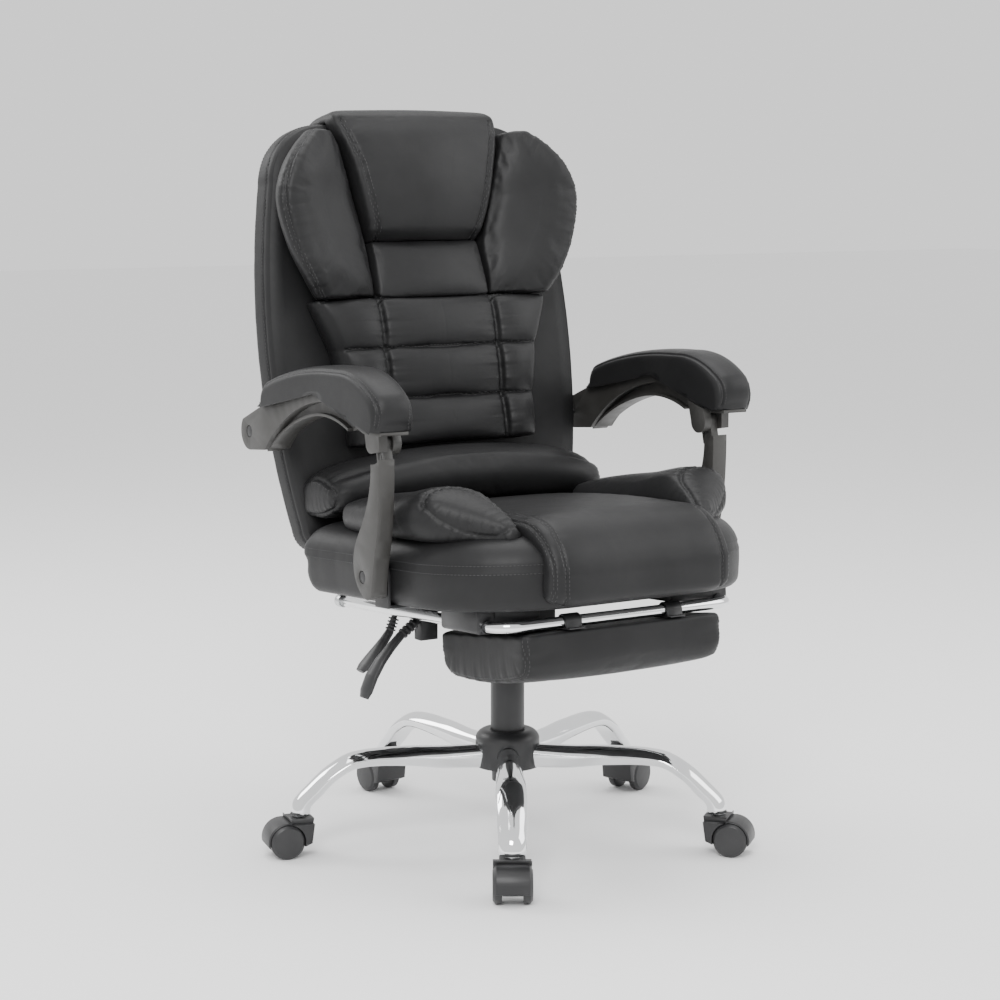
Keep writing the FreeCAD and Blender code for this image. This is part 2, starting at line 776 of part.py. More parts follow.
def seat_front_panel():
    panel = crowned(panel_section, PANEL_HALF_WIDTH, 12.0)
    save(tilted(panel.cut(seat_cushion_body(RUN))), "seat_front_panel")


# Side bolsters: place along the seat, inner side, outer side, height above the cushion
BOLSTER_STATIONS = (
    (72.0, 168.0, 226.0, 22.0),
    (52.0, 157.0, 244.0, 32.0),
    (-20.0, 152.0, 257.0, 41.0),
    (-100.0, BOLSTER_INNER, 263.0, 48.0),
    (-180.0, BOLSTER_INNER, 264.0, 58.0),
    (-232.0, BOLSTER_INNER, 259.0, 61.0),
    (-262.0, BOLSTER_INNER, 248.0, 56.0),
    (-278.0, BOLSTER_INNER + 1.0, 234.0, 46.0),
    (-286.0, BOLSTER_INNER + 6.0, 214.0, 28.0),
)


def bolster_section(y, inner, outer, height):
    foot = SEAT_HEIGHT + BOX_HEIGHT - 12.0
    top = SEAT_HEIGHT + BOX_HEIGHT + height
    side = top - height * 0.6
    return Part.Wire([
        line(vec(inner + 4.0, y, foot), vec(outer - 26.0, y, foot)),
        arc(vec(outer - 26.0, y, foot), vec(outer - 5.0, y, foot + 10.0), vec(outer, y, side)),
        arc(vec(outer, y, side), vec(outer - 5.0, y, top - height * 0.24), vec(outer - 20.0, y, top - height * 0.08)),
        arc(
            vec(outer - 20.0, y, top - height * 0.08),
            vec((inner + outer) / 2, y, top),
            vec(inner + 12.0, y, top - height * 0.14),
        ),
        arc(vec(inner + 12.0, y, top - height * 0.14), vec(inner, y, side), vec(inner + 4.0, y, foot)),
    ])


def seat_bolsters():
    stations = BOLSTER_STATIONS
    bolster = loft([bolster_section(*station) for station in stations])
    bolster = tilted(bolster.cut(seat_cushion_body(RUN)))
    save(group([bolster, mirrored(bolster)]), "seat_bolsters")


# Mechanism: plate, box with the cone socket, hinge arms, strut, guides and bolts

PLATE_BOLTS = ((80.0, -90.0), (80.0, 85.0), (-80.0, -90.0), (-80.0, 85.0))


def height_lever_y(x):
    return x * HEIGHT_LEVER_SLOPE


def hinge_arm(side):
    """Rearward arm of the mechanism that holds the recline hinge, outside the ears of the back."""
    inner = PLATE_HALF_WIDTH - EAR_THICKNESS
    under = -PLATE_THICKNESS / 2
    outline = [
        seat_point(20.0, under),
        seat_point(20.0, -14.0),
        seat_point(PLATE_REAR + 40.0, -24.0),
        (HINGE_Y + 3.0, HINGE_Z - HINGE_EYE_RADIUS + 0.4),
        (HINGE_Y - 11.0, HINGE_Z + 4.5),
        (HINGE_Y - 33.0, HINGE_Z - 12.0),
        seat_point(PLATE_REAR + 29.0, under),
        seat_point(PLATE_REAR, under),
    ]
    arm = side_plate(outline, inner, PLATE_HALF_WIDTH)
    start = vec(inner, HINGE_Y, HINGE_Z)
    end = vec(PLATE_HALF_WIDTH, HINGE_Y, HINGE_Z)
    arm = arm.fuse(cylinder(start, end, HINGE_EYE_RADIUS))
    arm = arm.cut(cylinder(start - vec(1, 0, 0), end + vec(1, 0, 0), HINGE_PIN_RADIUS))
    return arm if side > 0 else mirrored(arm)


def lever_ears(y):
    """Two ears on the side of the box that carry the cross pin of a lever."""
    ears = []
    for side in (-1, 1):
        middle = y + side * LEVER_EAR_GAP
        ear = block(
            LEVER_AXIS_X - 6.5, -MECH_BOX_HALF_WIDTH,
            middle - LEVER_EAR_THICKNESS / 2, middle + LEVER_EAR_THICKNESS / 2,
            LEVER_AXIS_Z - 7.0, LEVER_AXIS_Z + 7.0,
        )
        hole = cylinder(
            vec(LEVER_AXIS_X, middle - 5, LEVER_AXIS_Z), vec(LEVER_AXIS_X, middle + 5, LEVER_AXIS_Z),
            LEVER_PIN_RADIUS + HINGE_FIT,
        )
        ears.append(ear.cut(hole))
    return ears


def mechanism_housing():
    half = MECH_BOX_HALF_WIDTH
    wall = MECH_WALL
    bottom = MECH_BOX_BOTTOM
    ceiling = SEAT_HEIGHT + 30.0
    outer = block(-half, half, MECH_BOX_FRONT, MECH_BOX_REAR, bottom, ceiling)
    inner = block(
        wall - half, half - wall, MECH_BOX_FRONT + wall, MECH_BOX_REAR - wall, bottom + wall, ceiling
    )
    box = outer.cut(inner)
    for y in (height_lever_y(LEVER_AXIS_X), RECLINE_LEVER_Y):
        window = block(
            -half - 1, wall - half + 1, y - LEVER_ROD_RADIUS - 2.0, y + LEVER_ROD_RADIUS + 2.0,
            LEVER_AXIS_Z - LEVER_ROD_RADIUS - 3.0, LEVER_AXIS_Z + LEVER_ROD_RADIUS + 3.0,
        )
        box = box.cut(window)
    socket = cylinder(vec(0, 0, bottom), vec(0, 0, LIFT_TOP - 4.0), SOCKET_RADIUS)
    box = box.fuse(socket)
    above = tilted(block(-200, 200, -300, 300, SEAT_HEIGHT - PLATE_THICKNESS, SEAT_HEIGHT + 200))
    box = box.cut(above)
    plate = block(
        -PLATE_HALF_WIDTH, PLATE_HALF_WIDTH, PLATE_FRONT, PLATE_REAR,
        SEAT_HEIGHT - PLATE_THICKNESS, SEAT_HEIGHT,
    )
    for x, y in PLATE_BOLTS:
        plate = plate.cut(cylinder(vec(x, y, SEAT_HEIGHT - 9), vec(x, y, SEAT_HEIGHT + 1), BOLT_RADIUS))
    pieces = [tilted(plate), box, hinge_arm(1), hinge_arm(-1)]
    pieces += lever_ears(height_lever_y(LEVER_AXIS_X))
    pieces += lever_ears(RECLINE_LEVER_Y)
    save(fused(pieces).cut(lift_outside()), "mechanism_housing")


def seat_bolts():
    head = hexagon(
        vec(0, 0, -PLATE_THICKNESS - BOLT_HEAD), vec(0, 0, -PLATE_THICKNESS), 2 * BOLT_HEAD_RADIUS - 2.0
    )
    shank = cylinder(vec(0, 0, -PLATE_THICKNESS), vec(0, 0, PAN_THICKNESS - 2.0), BOLT_RADIUS)
    bolt = fused([head, shank])
    solids = [tilted(moved(bolt, x, y, SEAT_HEIGHT)) for x, y in PLATE_BOLTS]
    outer = POST_INNER + POST_THICKNESS
    foot = vec(0, POST_FOOT_Y, POST_FOOT_Z)
    head_start = outer - BOLT_HEAD - 1.0
    arm_shank = cylinder(
        foot + vec(POST_INNER - 6.2 - STRAP_THICKNESS, 0, 0), foot + vec(head_start, 0, 0), BOLT_RADIUS
    )
    arm_head = cylinder(
        foot + vec(head_start, 0, 0), foot + vec(head_start + BOLT_HEAD, 0, 0), BOLT_HEAD_RADIUS
    )
    arm_bolt = fused([arm_shank, arm_head])
    solids += [arm_bolt, mirrored(arm_bolt)]
    save(group(solids), "seat_bolts")


def recline_pivot_pins():
    inner = PLATE_HALF_WIDTH - 2 * EAR_THICKNESS - 3.0
    outer = PLATE_HALF_WIDTH
    centre = vec(0, HINGE_Y, HINGE_Z)
    shank = cylinder(centre + vec(inner, 0, 0), centre + vec(outer, 0, 0), HINGE_PIN_RADIUS)
    head = cylinder(centre + vec(outer, 0, 0), centre + vec(outer + 4.5, 0, 0), HINGE_PIN_RADIUS + 4.0)
    pin = fused([shank, head])
    save(group([pin, mirrored(pin)]), "recline_pivot_pins")


STRUT_Y = HINGE_Y + STRUT_CRANK * math.sin(math.radians(STRUT_SWING))
STRUT_LOW = STRUT_CRANK * (1 - math.cos(math.radians(STRUT_SWING))) / 2
STRUT_Z = HINGE_Z - STRUT_CRANK + STRUT_LOW
STRUT_TRAVEL = 2 * STRUT_CRANK * math.sin(math.radians(STRUT_SWING))


def recline_strut_cylinder():
    start = vec(0, MECH_BOX_REAR, STRUT_Z)
    end = start + vec(0, STRUT_LENGTH, 0)
    barrel = cylinder(start, end, STRUT_RADIUS)
    bore = cylinder(start + vec(0, 10.0, 0), end + vec(0, 1, 0), STRUT_ROD_RADIUS + RUN)
    save(barrel.cut(bore), "recline_strut_cylinder")


def recline_strut_rod():
    inside = MECH_BOX_REAR + 10.0 + STRUT_TRAVEL + 3.0
    rod = cylinder(vec(0, inside, STRUT_Z), vec(0, STRUT_Y - 8.0, STRUT_Z), STRUT_ROD_RADIUS)
    half = STRUT_EYE_WIDTH / 2
    eye = cylinder(vec(-half, STRUT_Y, STRUT_Z), vec(half, STRUT_Y, STRUT_Z), STRUT_EYE_RADIUS)
    slot_half = BOLT_RADIUS + STRUT_LOW + HINGE_FIT
    slot = block(
        -half - 1, half + 1, STRUT_Y - BOLT_RADIUS - 2 * HINGE_FIT, STRUT_Y + BOLT_RADIUS + 2 * HINGE_FIT,
        STRUT_Z - slot_half, STRUT_Z + slot_half,
    )
    save(fused([rod, eye]).cut(slot), "recline_strut_rod")


def footrest_guides():
    low = SEAT_HEIGHT - GUIDE_DEPTH
    body = block(GUIDE_INNER, GUIDE_OUTER, GUIDE_FRONT, GUIDE_REAR, low, SEAT_HEIGHT)
    upright = [
        edge for edge in body.Edges
        if abs(edge.CenterOfMass.y - (GUIDE_FRONT + GUIDE_REAR) / 2) < 0.01
        and edge.CenterOfMass.z < low + 0.01
    ]
    body = body.makeFillet(6.0, upright)
    z = SEAT_HEIGHT - RAIL_DROP
    bore = cylinder(vec(RAIL_X, GUIDE_FRONT - 1, z), vec(RAIL_X, GUIDE_REAR + 1, z), TUBE_R + RUN)
    flange = block(
        GUIDE_FLANGE_INNER, GUIDE_INNER + 6.0, GUIDE_FRONT - 2.0, GUIDE_REAR - 12.0,
        SEAT_HEIGHT - GUIDE_FLANGE_DEPTH, SEAT_HEIGHT,
    )
    guide = tilted(fused([body, flange]).cut(bore))
    save(group([guide, mirrored(guide)]), "footrest_guides")


def lever_guide():
    """Plastic block under the pan with an upright slot that lets the height lever lift."""
    x1 = LEVER_GUIDE_X + LEVER_GUIDE_WIDTH
    rear = LEVER_GUIDE_FRONT + LEVER_GUIDE_DEPTH
    body = block(LEVER_GUIDE_X, x1, LEVER_GUIDE_FRONT, rear, LEVER_GUIDE_BOTTOM, SEAT_HEIGHT + 10.0)
    lift = (LEVER_AXIS_X - LEVER_GUIDE_X) * math.tan(math.radians(LEVER_ANGLE))
    front = height_lever_y(LEVER_GUIDE_X) - LEVER_ROD_RADIUS - 2 * RUN
    back = height_lever_y(x1) + LEVER_ROD_RADIUS + 2 * RUN
    slot = block(
        LEVER_GUIDE_X - 1, x1 + 1, front, back,
        LEVER_AXIS_Z - LEVER_ROD_RADIUS - RUN, LEVER_AXIS_Z + LEVER_ROD_RADIUS + lift + RUN,
    )
    above = tilted(block(-300, 0, -100, 100, SEAT_HEIGHT, SEAT_HEIGHT + 60))
    edges = [
        edge for edge in body.Edges
        if abs(edge.CenterOfMass.x - (LEVER_GUIDE_X + x1) / 2) < 0.01
        and edge.CenterOfMass.z < LEVER_GUIDE_BOTTOM + 0.01
    ]
    save(body.makeFillet(2.0, edges).cut(slot).cut(above), "lever_guide")


# Levers: rod with a cross pin, ribbed sleeve and flat paddle

def lever_rod(inner_x, slope, y0):
    def at(x):
        return vec(x, y0 + x * slope, LEVER_AXIS_Z)

    rod = cylinder(at(inner_x), at(LEVER_ROD_END), LEVER_ROD_RADIUS)
    pivot = at(LEVER_AXIS_X)
    reach = LEVER_EAR_GAP + LEVER_EAR_THICKNESS / 2 + 2.0
    pin = cylinder(pivot - vec(0, reach, 0), pivot + vec(0, reach, 0), LEVER_PIN_RADIUS)
    return fused([rod, pin])


def grip_section(point, fall, half_flat, half_thick):
    """Oval section of a grip that slopes down by the fall angle away from the seat."""
    turn = math.radians(fall)
    normal = vec(-math.sin(turn), 0, math.cos(turn)) * half_thick
    side = vec(0, half_flat, 0)
    low = normal * 0.35
    return Part.Wire([
        line(point + side - low, point + side + low),
        arc(point + side + low, point + normal, point - side + low),
        line(point - side + low, point - side - low),
        arc(point - side - low, point - normal, point + side - low),
    ])


def lever_grip(path, y, ribs):
    """Sleeve and paddle through (x, z, fall, half width, half thickness) stations."""
    wires = [
        grip_section(vec(x, y, z), fall, half_flat, half_thick)
        for x, z, fall, half_flat, half_thick in path
    ]
    pieces = [loft(wires)]
    (x0, z0, fall, _, _), (x1, z1, _, _, _) = path[0], path[1]
    direction = vec(x1 - x0, 0, z1 - z0)
    step = (direction.Length - GRIP_RADIUS) / ribs
    direction.normalize()
    for index in range(ribs):
        start = vec(x0, y, z0) + direction * (index * step + GRIP_RADIUS)
        pieces.append(cylinder(start, start + direction * (step * 0.5), GRIP_RADIUS + 1.6))
    return fused(pieces)


def height_lever():
    save(lever_rod(6.0, HEIGHT_LEVER_SLOPE, 0.0), "height_lever_rod")
    path = (
        (LEVER_ROD_END - 2 * RUN, LEVER_AXIS_Z, 0.0, GRIP_RADIUS, GRIP_RADIUS),
        (-196.0, 327.0, 38.0, GRIP_RADIUS, GRIP_RADIUS),
        (-213.0, 311.0, 44.0, 8.0, 6.4),
        (-230.0, 293.0, 50.0, 11.5, 6.8),
        (-244.0, 273.0, 58.0, 14.0, 6.8),
        (-253.0, 253.0, 66.0, 14.0, 6.2),
        (-257.0, 243.0, 68.0, 10.0, 4.0),
    )
    grip = lever_grip(path, height_lever_y(LEVER_ROD_END), GRIP_RIBS)
    save(grip, "height_lever_grip")


def recline_lever():
    save(lever_rod(-20.0, 0.0, RECLINE_LEVER_Y), "recline_lever_rod")
    path = (
        (LEVER_ROD_END - 2 * RUN, LEVER_AXIS_Z, 0.0, GRIP_RADIUS, GRIP_RADIUS),
        (-178.0, 321.0, 50.0, GRIP_RADIUS, GRIP_RADIUS),
        (-187.0, 309.5, 50.0, 8.0, 6.4),
        (-198.0, 297.0, 48.0, 11.5, 6.8),
        (-210.0, 284.5, 46.0, 14.0, 6.8),
        (-221.0, 274.0, 42.0, 14.0, 6.2),
        (-228.0, 268.0, 40.0, 10.0, 4.0),
    )
    save(lever_grip(path, RECLINE_LEVER_Y, GRIP_RIBS), "recline_lever_grip")


# Back: drawn upright with u as depth to the rear and h up the back, then leaned

def leaned(shape):
    copy = turned(shape, -BACK_LEAN, vec(0, 0, 0), vec(1, 0, 0))
    copy.translate(vec(0, BACK_FOOT_Y, BACK_FOOT_Z))
    return copy


def back_local(y, z):
    """Depth and height on the upright back of a point (y, z) in side view."""
    turn = math.radians(BACK_LEAN)
    dy = y - BACK_FOOT_Y
    dz = z - BACK_FOOT_Z
    return dy * math.cos(turn) - dz * math.sin(turn), dy * math.sin(turn) + dz * math.cos(turn)


HINGE_U, HINGE_H = back_local(HINGE_Y, HINGE_Z)
ARM_REAR_U, ARM_REAR_H = back_local(ARM_REAR_Y, ARM_REAR_Z)
SHELL_FOOT_HALF = 236.0
SHELL_MID_HALF = 268.0
SHELL_HEAD_HALF = 243.0
SHELL_TOP_HALF = 150.0
BOARD_HALF_WIDTH = 215.0
BOARD_FOOT = 30.0
BOARD_TOP = 590.0
BOARD_EAR_HALF = 246.0


def shell_outline(u, inset):
    """Front view of the back shell: waisted foot, widest at the arms, round shoulders."""
    foot = inset
    top = BACK_HEIGHT - inset
    foot_half = SHELL_FOOT_HALF - inset
    mid_half = SHELL_MID_HALF - inset
    head_half = SHELL_HEAD_HALF - inset
    top_half = SHELL_TOP_HALF
    edges = [
        line(vec(34.0 - foot_half, u, foot), vec(foot_half - 34.0, u, foot)),
        arc(
            vec(foot_half - 34.0, u, foot),
            vec(foot_half - 8.0, u, foot + 9.0),
            vec(foot_half + 4.0, u, foot + 34.0),
        ),
        arc(
            vec(foot_half + 4.0, u, foot + 34.0),
            vec(mid_half, u, 300.0),
            vec(head_half, u, 552.0),
        ),
        arc(
            vec(head_half, u, 552.0),
            vec((head_half + top_half) / 2 + 17.0, u, top - 25.0),
            vec(top_half, u, top),
        ),
        line(vec(top_half, u, top), vec(-top_half, u, top)),
        arc(
            vec(-top_half, u, top),
            vec(-(head_half + top_half) / 2 - 17.0, u, top - 25.0),
            vec(-head_half, u, 552.0),
        ),
        arc(
            vec(-head_half, u, 552.0),
            vec(-mid_half, u, 300.0),
            vec(-foot_half - 4.0, u, foot + 34.0),
        ),
        arc(
            vec(-foot_half - 4.0, u, foot + 34.0),
            vec(8.0 - foot_half, u, foot + 9.0),
            vec(34.0 - foot_half, u, foot),
        ),
    ]
    return Part.Wire(edges)


BRACKET_BOLTS = ((65.0, 60.0), (65.0, 145.0), (-65.0, 60.0), (-65.0, 145.0))


def back_board_shape():
    u0 = BOARD_DEPTH
    u1 = BOARD_DEPTH + BOARD_THICKNESS
    panel = block(-BOARD_HALF_WIDTH, BOARD_HALF_WIDTH, u0, u1, BOARD_FOOT, BOARD_TOP)
    ears = block(-BOARD_EAR_HALF, BOARD_EAR_HALF, u0, u1, ARM_REAR_H - 26.0, ARM_REAR_H + 26.0)
    return fused([panel, ears])


def back_bolt_holes(radius):
    holes = [
        cylinder(vec(x, BOARD_DEPTH + 2.0, h), vec(x, SHELL_THICKNESS + 1, h), radius)
        for x, h in BRACKET_BOLTS
    ]
    for side in (-1, 1):
        holes.append(cylinder(
            vec(side * (BOARD_EAR_HALF - 20.0), ARM_REAR_U, ARM_REAR_H),
            vec(side * (SHELL_MID_HALF + 10.0), ARM_REAR_U, ARM_REAR_H),
            radius,
        ))
    return holes


def back_board():
    board = back_board_shape()
    for hole in back_bolt_holes(BOLT_RADIUS):
        board = board.cut(hole)
    save(leaned(board), "back_board")


def back_cushion():
    thick = SHELL_THICKNESS
    wires = [
        shell_outline(0.0, 5.0),
        shell_outline(10.0, 0.0),
        shell_outline(thick - 22.0, 0.0),
        shell_outline(thick - 8.0, 7.0),
        shell_outline(thick, 24.0),
    ]
    shell = loft(wires).cut(back_board_shape())
    for hole in back_bolt_holes(BOLT_RADIUS + RUN):
        shell = shell.cut(hole)
    save(leaned(shell), "back_cushion")


def back_bracket():
    inner = PLATE_HALF_WIDTH - 2 * EAR_THICKNESS - RUN
    outer = inner + EAR_THICKNESS
    u0 = SHELL_THICKNESS + RUN
    u1 = u0 + BRACKET_THICKNESS
    plate = block(-outer, outer, u0, u1, BRACKET_FOOT, BRACKET_TOP)
    window = block(-30.0, 30.0, u0 - 1, u1 + 1, BRACKET_FOOT + 62.0, BRACKET_TOP - 22.0)
    window = window.makeFillet(
        12.0, [edge for edge in window.Edges if abs(edge.CenterOfMass.y - (u0 + u1) / 2) < 0.01]
    )
    plate = plate.cut(window)
    for x, h in BRACKET_BOLTS:
        plate = plate.cut(cylinder(vec(x, u0 - 1, h), vec(x, u1 + 1, h), BOLT_RADIUS))
    pieces = [plate]
    eye = vec(0, HINGE_U, HINGE_H)
    crank_y = HINGE_Y + STRUT_CRANK * math.sin(math.radians(STRUT_SWING))
    crank_z = HINGE_Z - STRUT_CRANK * math.cos(math.radians(STRUT_SWING))
    crank_u, crank_h = back_local(crank_y, crank_z)
    for side in (-1, 1):
        x0 = side * inner
        x1 = side * outer
        ear = side_plate(
            [(u0, BRACKET_TOP - 10.0), (u0, HINGE_H + 12.0), (HINGE_U - 11.0, HINGE_H + 2.0),
             (HINGE_U + 11.0, HINGE_H), (u1 + 14.0, BRACKET_FOOT + 30.0), (u1 + 4.0, BRACKET_TOP - 10.0)],
            min(x0, x1), max(x0, x1),
        )
        ear = ear.fuse(cylinder(eye + vec(x0, 0, 0), eye + vec(x1, 0, 0), HINGE_EYE_RADIUS))
        hole = cylinder(
            eye + vec(x0 - side, 0, 0), eye + vec(x1 + side, 0, 0), HINGE_PIN_RADIUS + HINGE_FIT
        )
        pieces.append(ear.cut(hole))
        lug0 = side * LUG_GAP
        lug1 = side * (LUG_GAP + LUG_THICKNESS)
        lug = side_plate(
            [(u0, BRACKET_FOOT + 50.0), (u0, BRACKET_FOOT), (crank_u - 10.0, crank_h),
             (crank_u + 10.0, crank_h), (u1 + 16.0, BRACKET_FOOT + 20.0), (u1 + 2.0, BRACKET_FOOT + 50.0)],
            min(lug0, lug1), max(lug0, lug1),
        )
        tip = cylinder(vec(lug0, crank_u, crank_h), vec(lug1, crank_u, crank_h), 10.0)
        pieces.append(lug.fuse(tip))
    reach = LUG_GAP + LUG_THICKNESS
    pieces.append(cylinder(vec(-reach, crank_u, crank_h), vec(reach, crank_u, crank_h), BOLT_RADIUS))
    save(leaned(fused(pieces)), "back_bracket")


def back_bolts():
    plate_face = SHELL_THICKNESS + RUN + BRACKET_THICKNESS
    solids = []
    for x, h in BRACKET_BOLTS:
        shank = cylinder(vec(x, BOARD_DEPTH + 2.0, h), vec(x, plate_face, h), BOLT_RADIUS)
        head = hexagon(
            vec(x, plate_face, h), vec(x, plate_face + BOLT_HEAD, h), 2 * BOLT_HEAD_RADIUS - 2.0
        )
        solids.append(leaned(fused([shank, head])))
    pivot = vec(0, ARM_REAR_U, ARM_REAR_H)
    head_start = ARM_OUTER - BOLT_HEAD - 0.5
    shank = cylinder(pivot + vec(BOARD_EAR_HALF - 20.0, 0, 0), pivot + vec(head_start, 0, 0), BOLT_RADIUS)
    head = cylinder(
        pivot + vec(head_start, 0, 0), pivot + vec(head_start + BOLT_HEAD, 0, 0), BOLT_HEAD_RADIUS
    )
    arm_bolt = leaned(fused([shank, head]))
    solids += [arm_bolt, mirrored(arm_bolt)]
    save(group(solids), "back_bolts")


# Tufted middle of the back: pillows between sewn seams

# Seams across the back: height, half width of the tufted field, depth of the seam
TUFT_SEAMS = (
    (150.0, 156.0, -46.0),
    (217.0, 160.0, -40.0),
    (293.0, 173.0, -42.0),
    (368.0, 203.0, -35.5),
)
TUFT_CROWN = 14.0
SEAM_CROWN = 3.0
TUFT_SWELL = 5.0
TUFT_TOP = 457.0
TUFT_TOP_HALF = 97.0
TUFT_TOP_DEPTH = -19.0


def tuft_section(h, half, depth, crown):
    """Plan view across the back: two side pillows and a middle one between two valleys."""
    face = -RUN
    edge = half - 8.0
    valley = TUFT_HALF_WIDTH
    middle = (edge + valley) / 2
    return Part.Wire([
        line(vec(-half, face, h), vec(half, face, h)),
        arc(vec(half, face, h), vec(half + 3.0, depth / 2, h), vec(edge, depth, h)),
        arc(vec(edge, depth, h), vec(middle, depth - crown * 0.7, h), vec(valley, depth, h)),
        arc(vec(valley, depth, h), vec(0, depth - crown, h), vec(-valley, depth, h)),
        arc(vec(-valley, depth, h), vec(-middle, depth - crown * 0.7, h), vec(-edge, depth, h)),
        arc(vec(-edge, depth, h), vec(-half - 3.0, depth / 2, h), vec(-half, face, h)),
    ])


def top_tuft_section(h, half, depth, crown):
    face = -RUN
    edge = half - 4.0
    return Part.Wire([
        line(vec(-half, face, h), vec(half, face, h)),
        line(vec(half, face, h), vec(edge, depth, h)),
        arc(vec(edge, depth, h), vec(0, depth - crown, h), vec(-edge, depth, h)),
        line(vec(-edge, depth, h), vec(-half, face, h)),
    ])


# Share of the way between two seams, and share of the full swell there
TUFT_SHARES = ((0.0, 0.0), (0.1, 0.5), (0.27, 0.85), (0.5, 1.0), (0.73, 0.85), (0.9, 0.5), (1.0, 0.0))


def tuft_row(section, low_seam, high_seam):
    """A row of pillows that swells between two sewn seams."""
    wires = []
    for place, swell in TUFT_SHARES:
        h, half, depth = (a + (b - a) * place for a, b in zip(low_seam, high_seam))
        crown = SEAM_CROWN + (TUFT_CROWN - SEAM_CROWN) * swell
        wires.append(section(h, half, depth - TUFT_SWELL * swell, crown))
    return loft(wires)


def back_tufted_panel():
    rows = [tuft_row(tuft_section, low, high) for low, high in zip(TUFT_SEAMS, TUFT_SEAMS[1:])]
    h, _, depth = TUFT_SEAMS[-1]
    top_seam = (h, TUFT_HALF_WIDTH, depth)
    rows.append(tuft_row(top_tuft_section, top_seam, (TUFT_TOP, TUFT_TOP_HALF, TUFT_TOP_DEPTH)))
    save(leaned(fused(rows)), "back_tufted_panel")


# Wings: height, inner edge, outer edge, depth at the inner edge, depth at the outer edge
WING_STATIONS = (
    (372.0, 102.5, 204.0, -32.0, -48.0),
    (400.0, 102.0, 223.0, -32.0, -60.0),
    (452.0, 101.0, 249.0, -24.0, -65.0),
    (520.0, 117.0, 262.0, -28.0, -69.0),
    (566.0, 130.0, 247.0, -34.0, -68.0),
    (600.0, 141.0, 219.0, -36.0, -58.0),
    (622.0, 152.0, 192.0, -34.0, -44.0),
)
WING_CROWN = 10.0
WING_UNDERCUT = 0.25


def wing_section(h, inner, outer, depth_in, depth_out):
    """Plan view of a wing: thin at the inner seam, with a round outer edge that overhangs."""
    face = -RUN
    rim = vec(outer, depth_out * 0.82, h)
    brow = vec(outer - (outer - inner) * 0.2, depth_out - 5.0, h)
    root = vec(outer - (outer - inner) * WING_UNDERCUT, face, h)
    return Part.Wire([
        line(vec(inner, face, h), root),
        arc(root, vec(outer - (outer - inner) * 0.07, depth_out * 0.4, h), rim),
        arc(rim, vec(outer - (outer - inner) * 0.06, depth_out - 1.0, h), brow),
        arc(brow, vec((inner + outer) / 2, (depth_in + depth_out) / 2 - WING_CROWN, h), vec(inner, depth_in, h)),
        line(vec(inner, depth_in, h), vec(inner, face, h)),
    ])


def back_wings():
    stations = smooth_stations(WING_STATIONS, 8, 1)
    wing = leaned(loft([wing_section(*station) for station in stations]))
    save(group([wing, mirrored(wing)]), "back_wings")


# Headrest pillow: height, half width, depth of the front
HEADREST_STATIONS = (
    (457.5, 96.0, -18.0),
    (474.0, 100.0, -42.0),
    (520.0, 112.0, -58.0),
    (570.0, 124.0, -60.0),
    (612.0, 136.0, -52.0),
    (BACK_HEIGHT + RUN, 143.0, -36.0),
)


def headrest_section(h, half, depth):
    face = -RUN
    shoulder = depth * 0.72
    return Part.Wire([
        line(vec(-half, face, h), vec(half, face, h)),
        line(vec(half, face, h), vec(half, shoulder, h)),
        arc(vec(half, shoulder, h), vec(0, depth - 6.0, h), vec(-half, shoulder, h)),
        line(vec(-half, shoulder, h), vec(-half, face, h)),
    ])


def headrest_pillow():
    front = loft([headrest_section(*station) for station in HEADREST_STATIONS])
    foot = BACK_HEIGHT + RUN
    rise = HEADREST_TOP - foot
    half = HEADREST_STATIONS[-1][1]
    rear = SHELL_THICKNESS - 4.0
    cap_stations = (
        (0.0, half, -30.0, rear),
        (rise * 0.5, half - 4.0, -22.0, rear - 8.0),
        (rise * 0.85, half - 14.0, -6.0, rear - 24.0),
        (rise, half - 30.0, 6.0, rear - 38.0),
    )
    wires = []
    for up, wide, near, far in cap_stations:
        centre = vec(0, (near + far) / 2, foot + up)
        radius = (far - near) * 0.3
        wires.append(rounded_rectangle(
            centre, vec(1, 0, 0), vec(0, 1, 0), wide, (far - near) / 2, radius
        ))
    save(leaned(fused([front, loft(wires)])), "headrest_pillow")


def roll_section(x, inset):
    """Side view of the lumbar roll, flat where it lies on the back and lower at its ends."""
    face = -RUN
    middle = ROLL_HEIGHT - ROLL_SAG * (x / ROLL_HALF_LENGTH) ** 2
    front = inset * 1.6 - ROLL_DEPTH
    top = vec(x, face, middle + 39.0 - inset)
    front_top = vec(x, front + 20.0, middle + 26.0 - inset * 0.6)
    front_low = vec(x, front + 20.0, middle - 27.0 + inset * 0.6)
    low = vec(x, face, middle - 31.0 + inset)
    return Part.Wire([
        arc(top, vec(x, front * 0.5, middle + 43.0 - inset), front_top),
        arc(front_top, vec(x, front, middle), front_low),
        arc(front_low, vec(x, front * 0.5, middle - 36.0 + inset), low),
        line(low, top),
    ])


def lumbar_roll():
    save(leaned(crowned(roll_section, ROLL_HALF_LENGTH, 16.0)), "lumbar_roll")


# Armrests

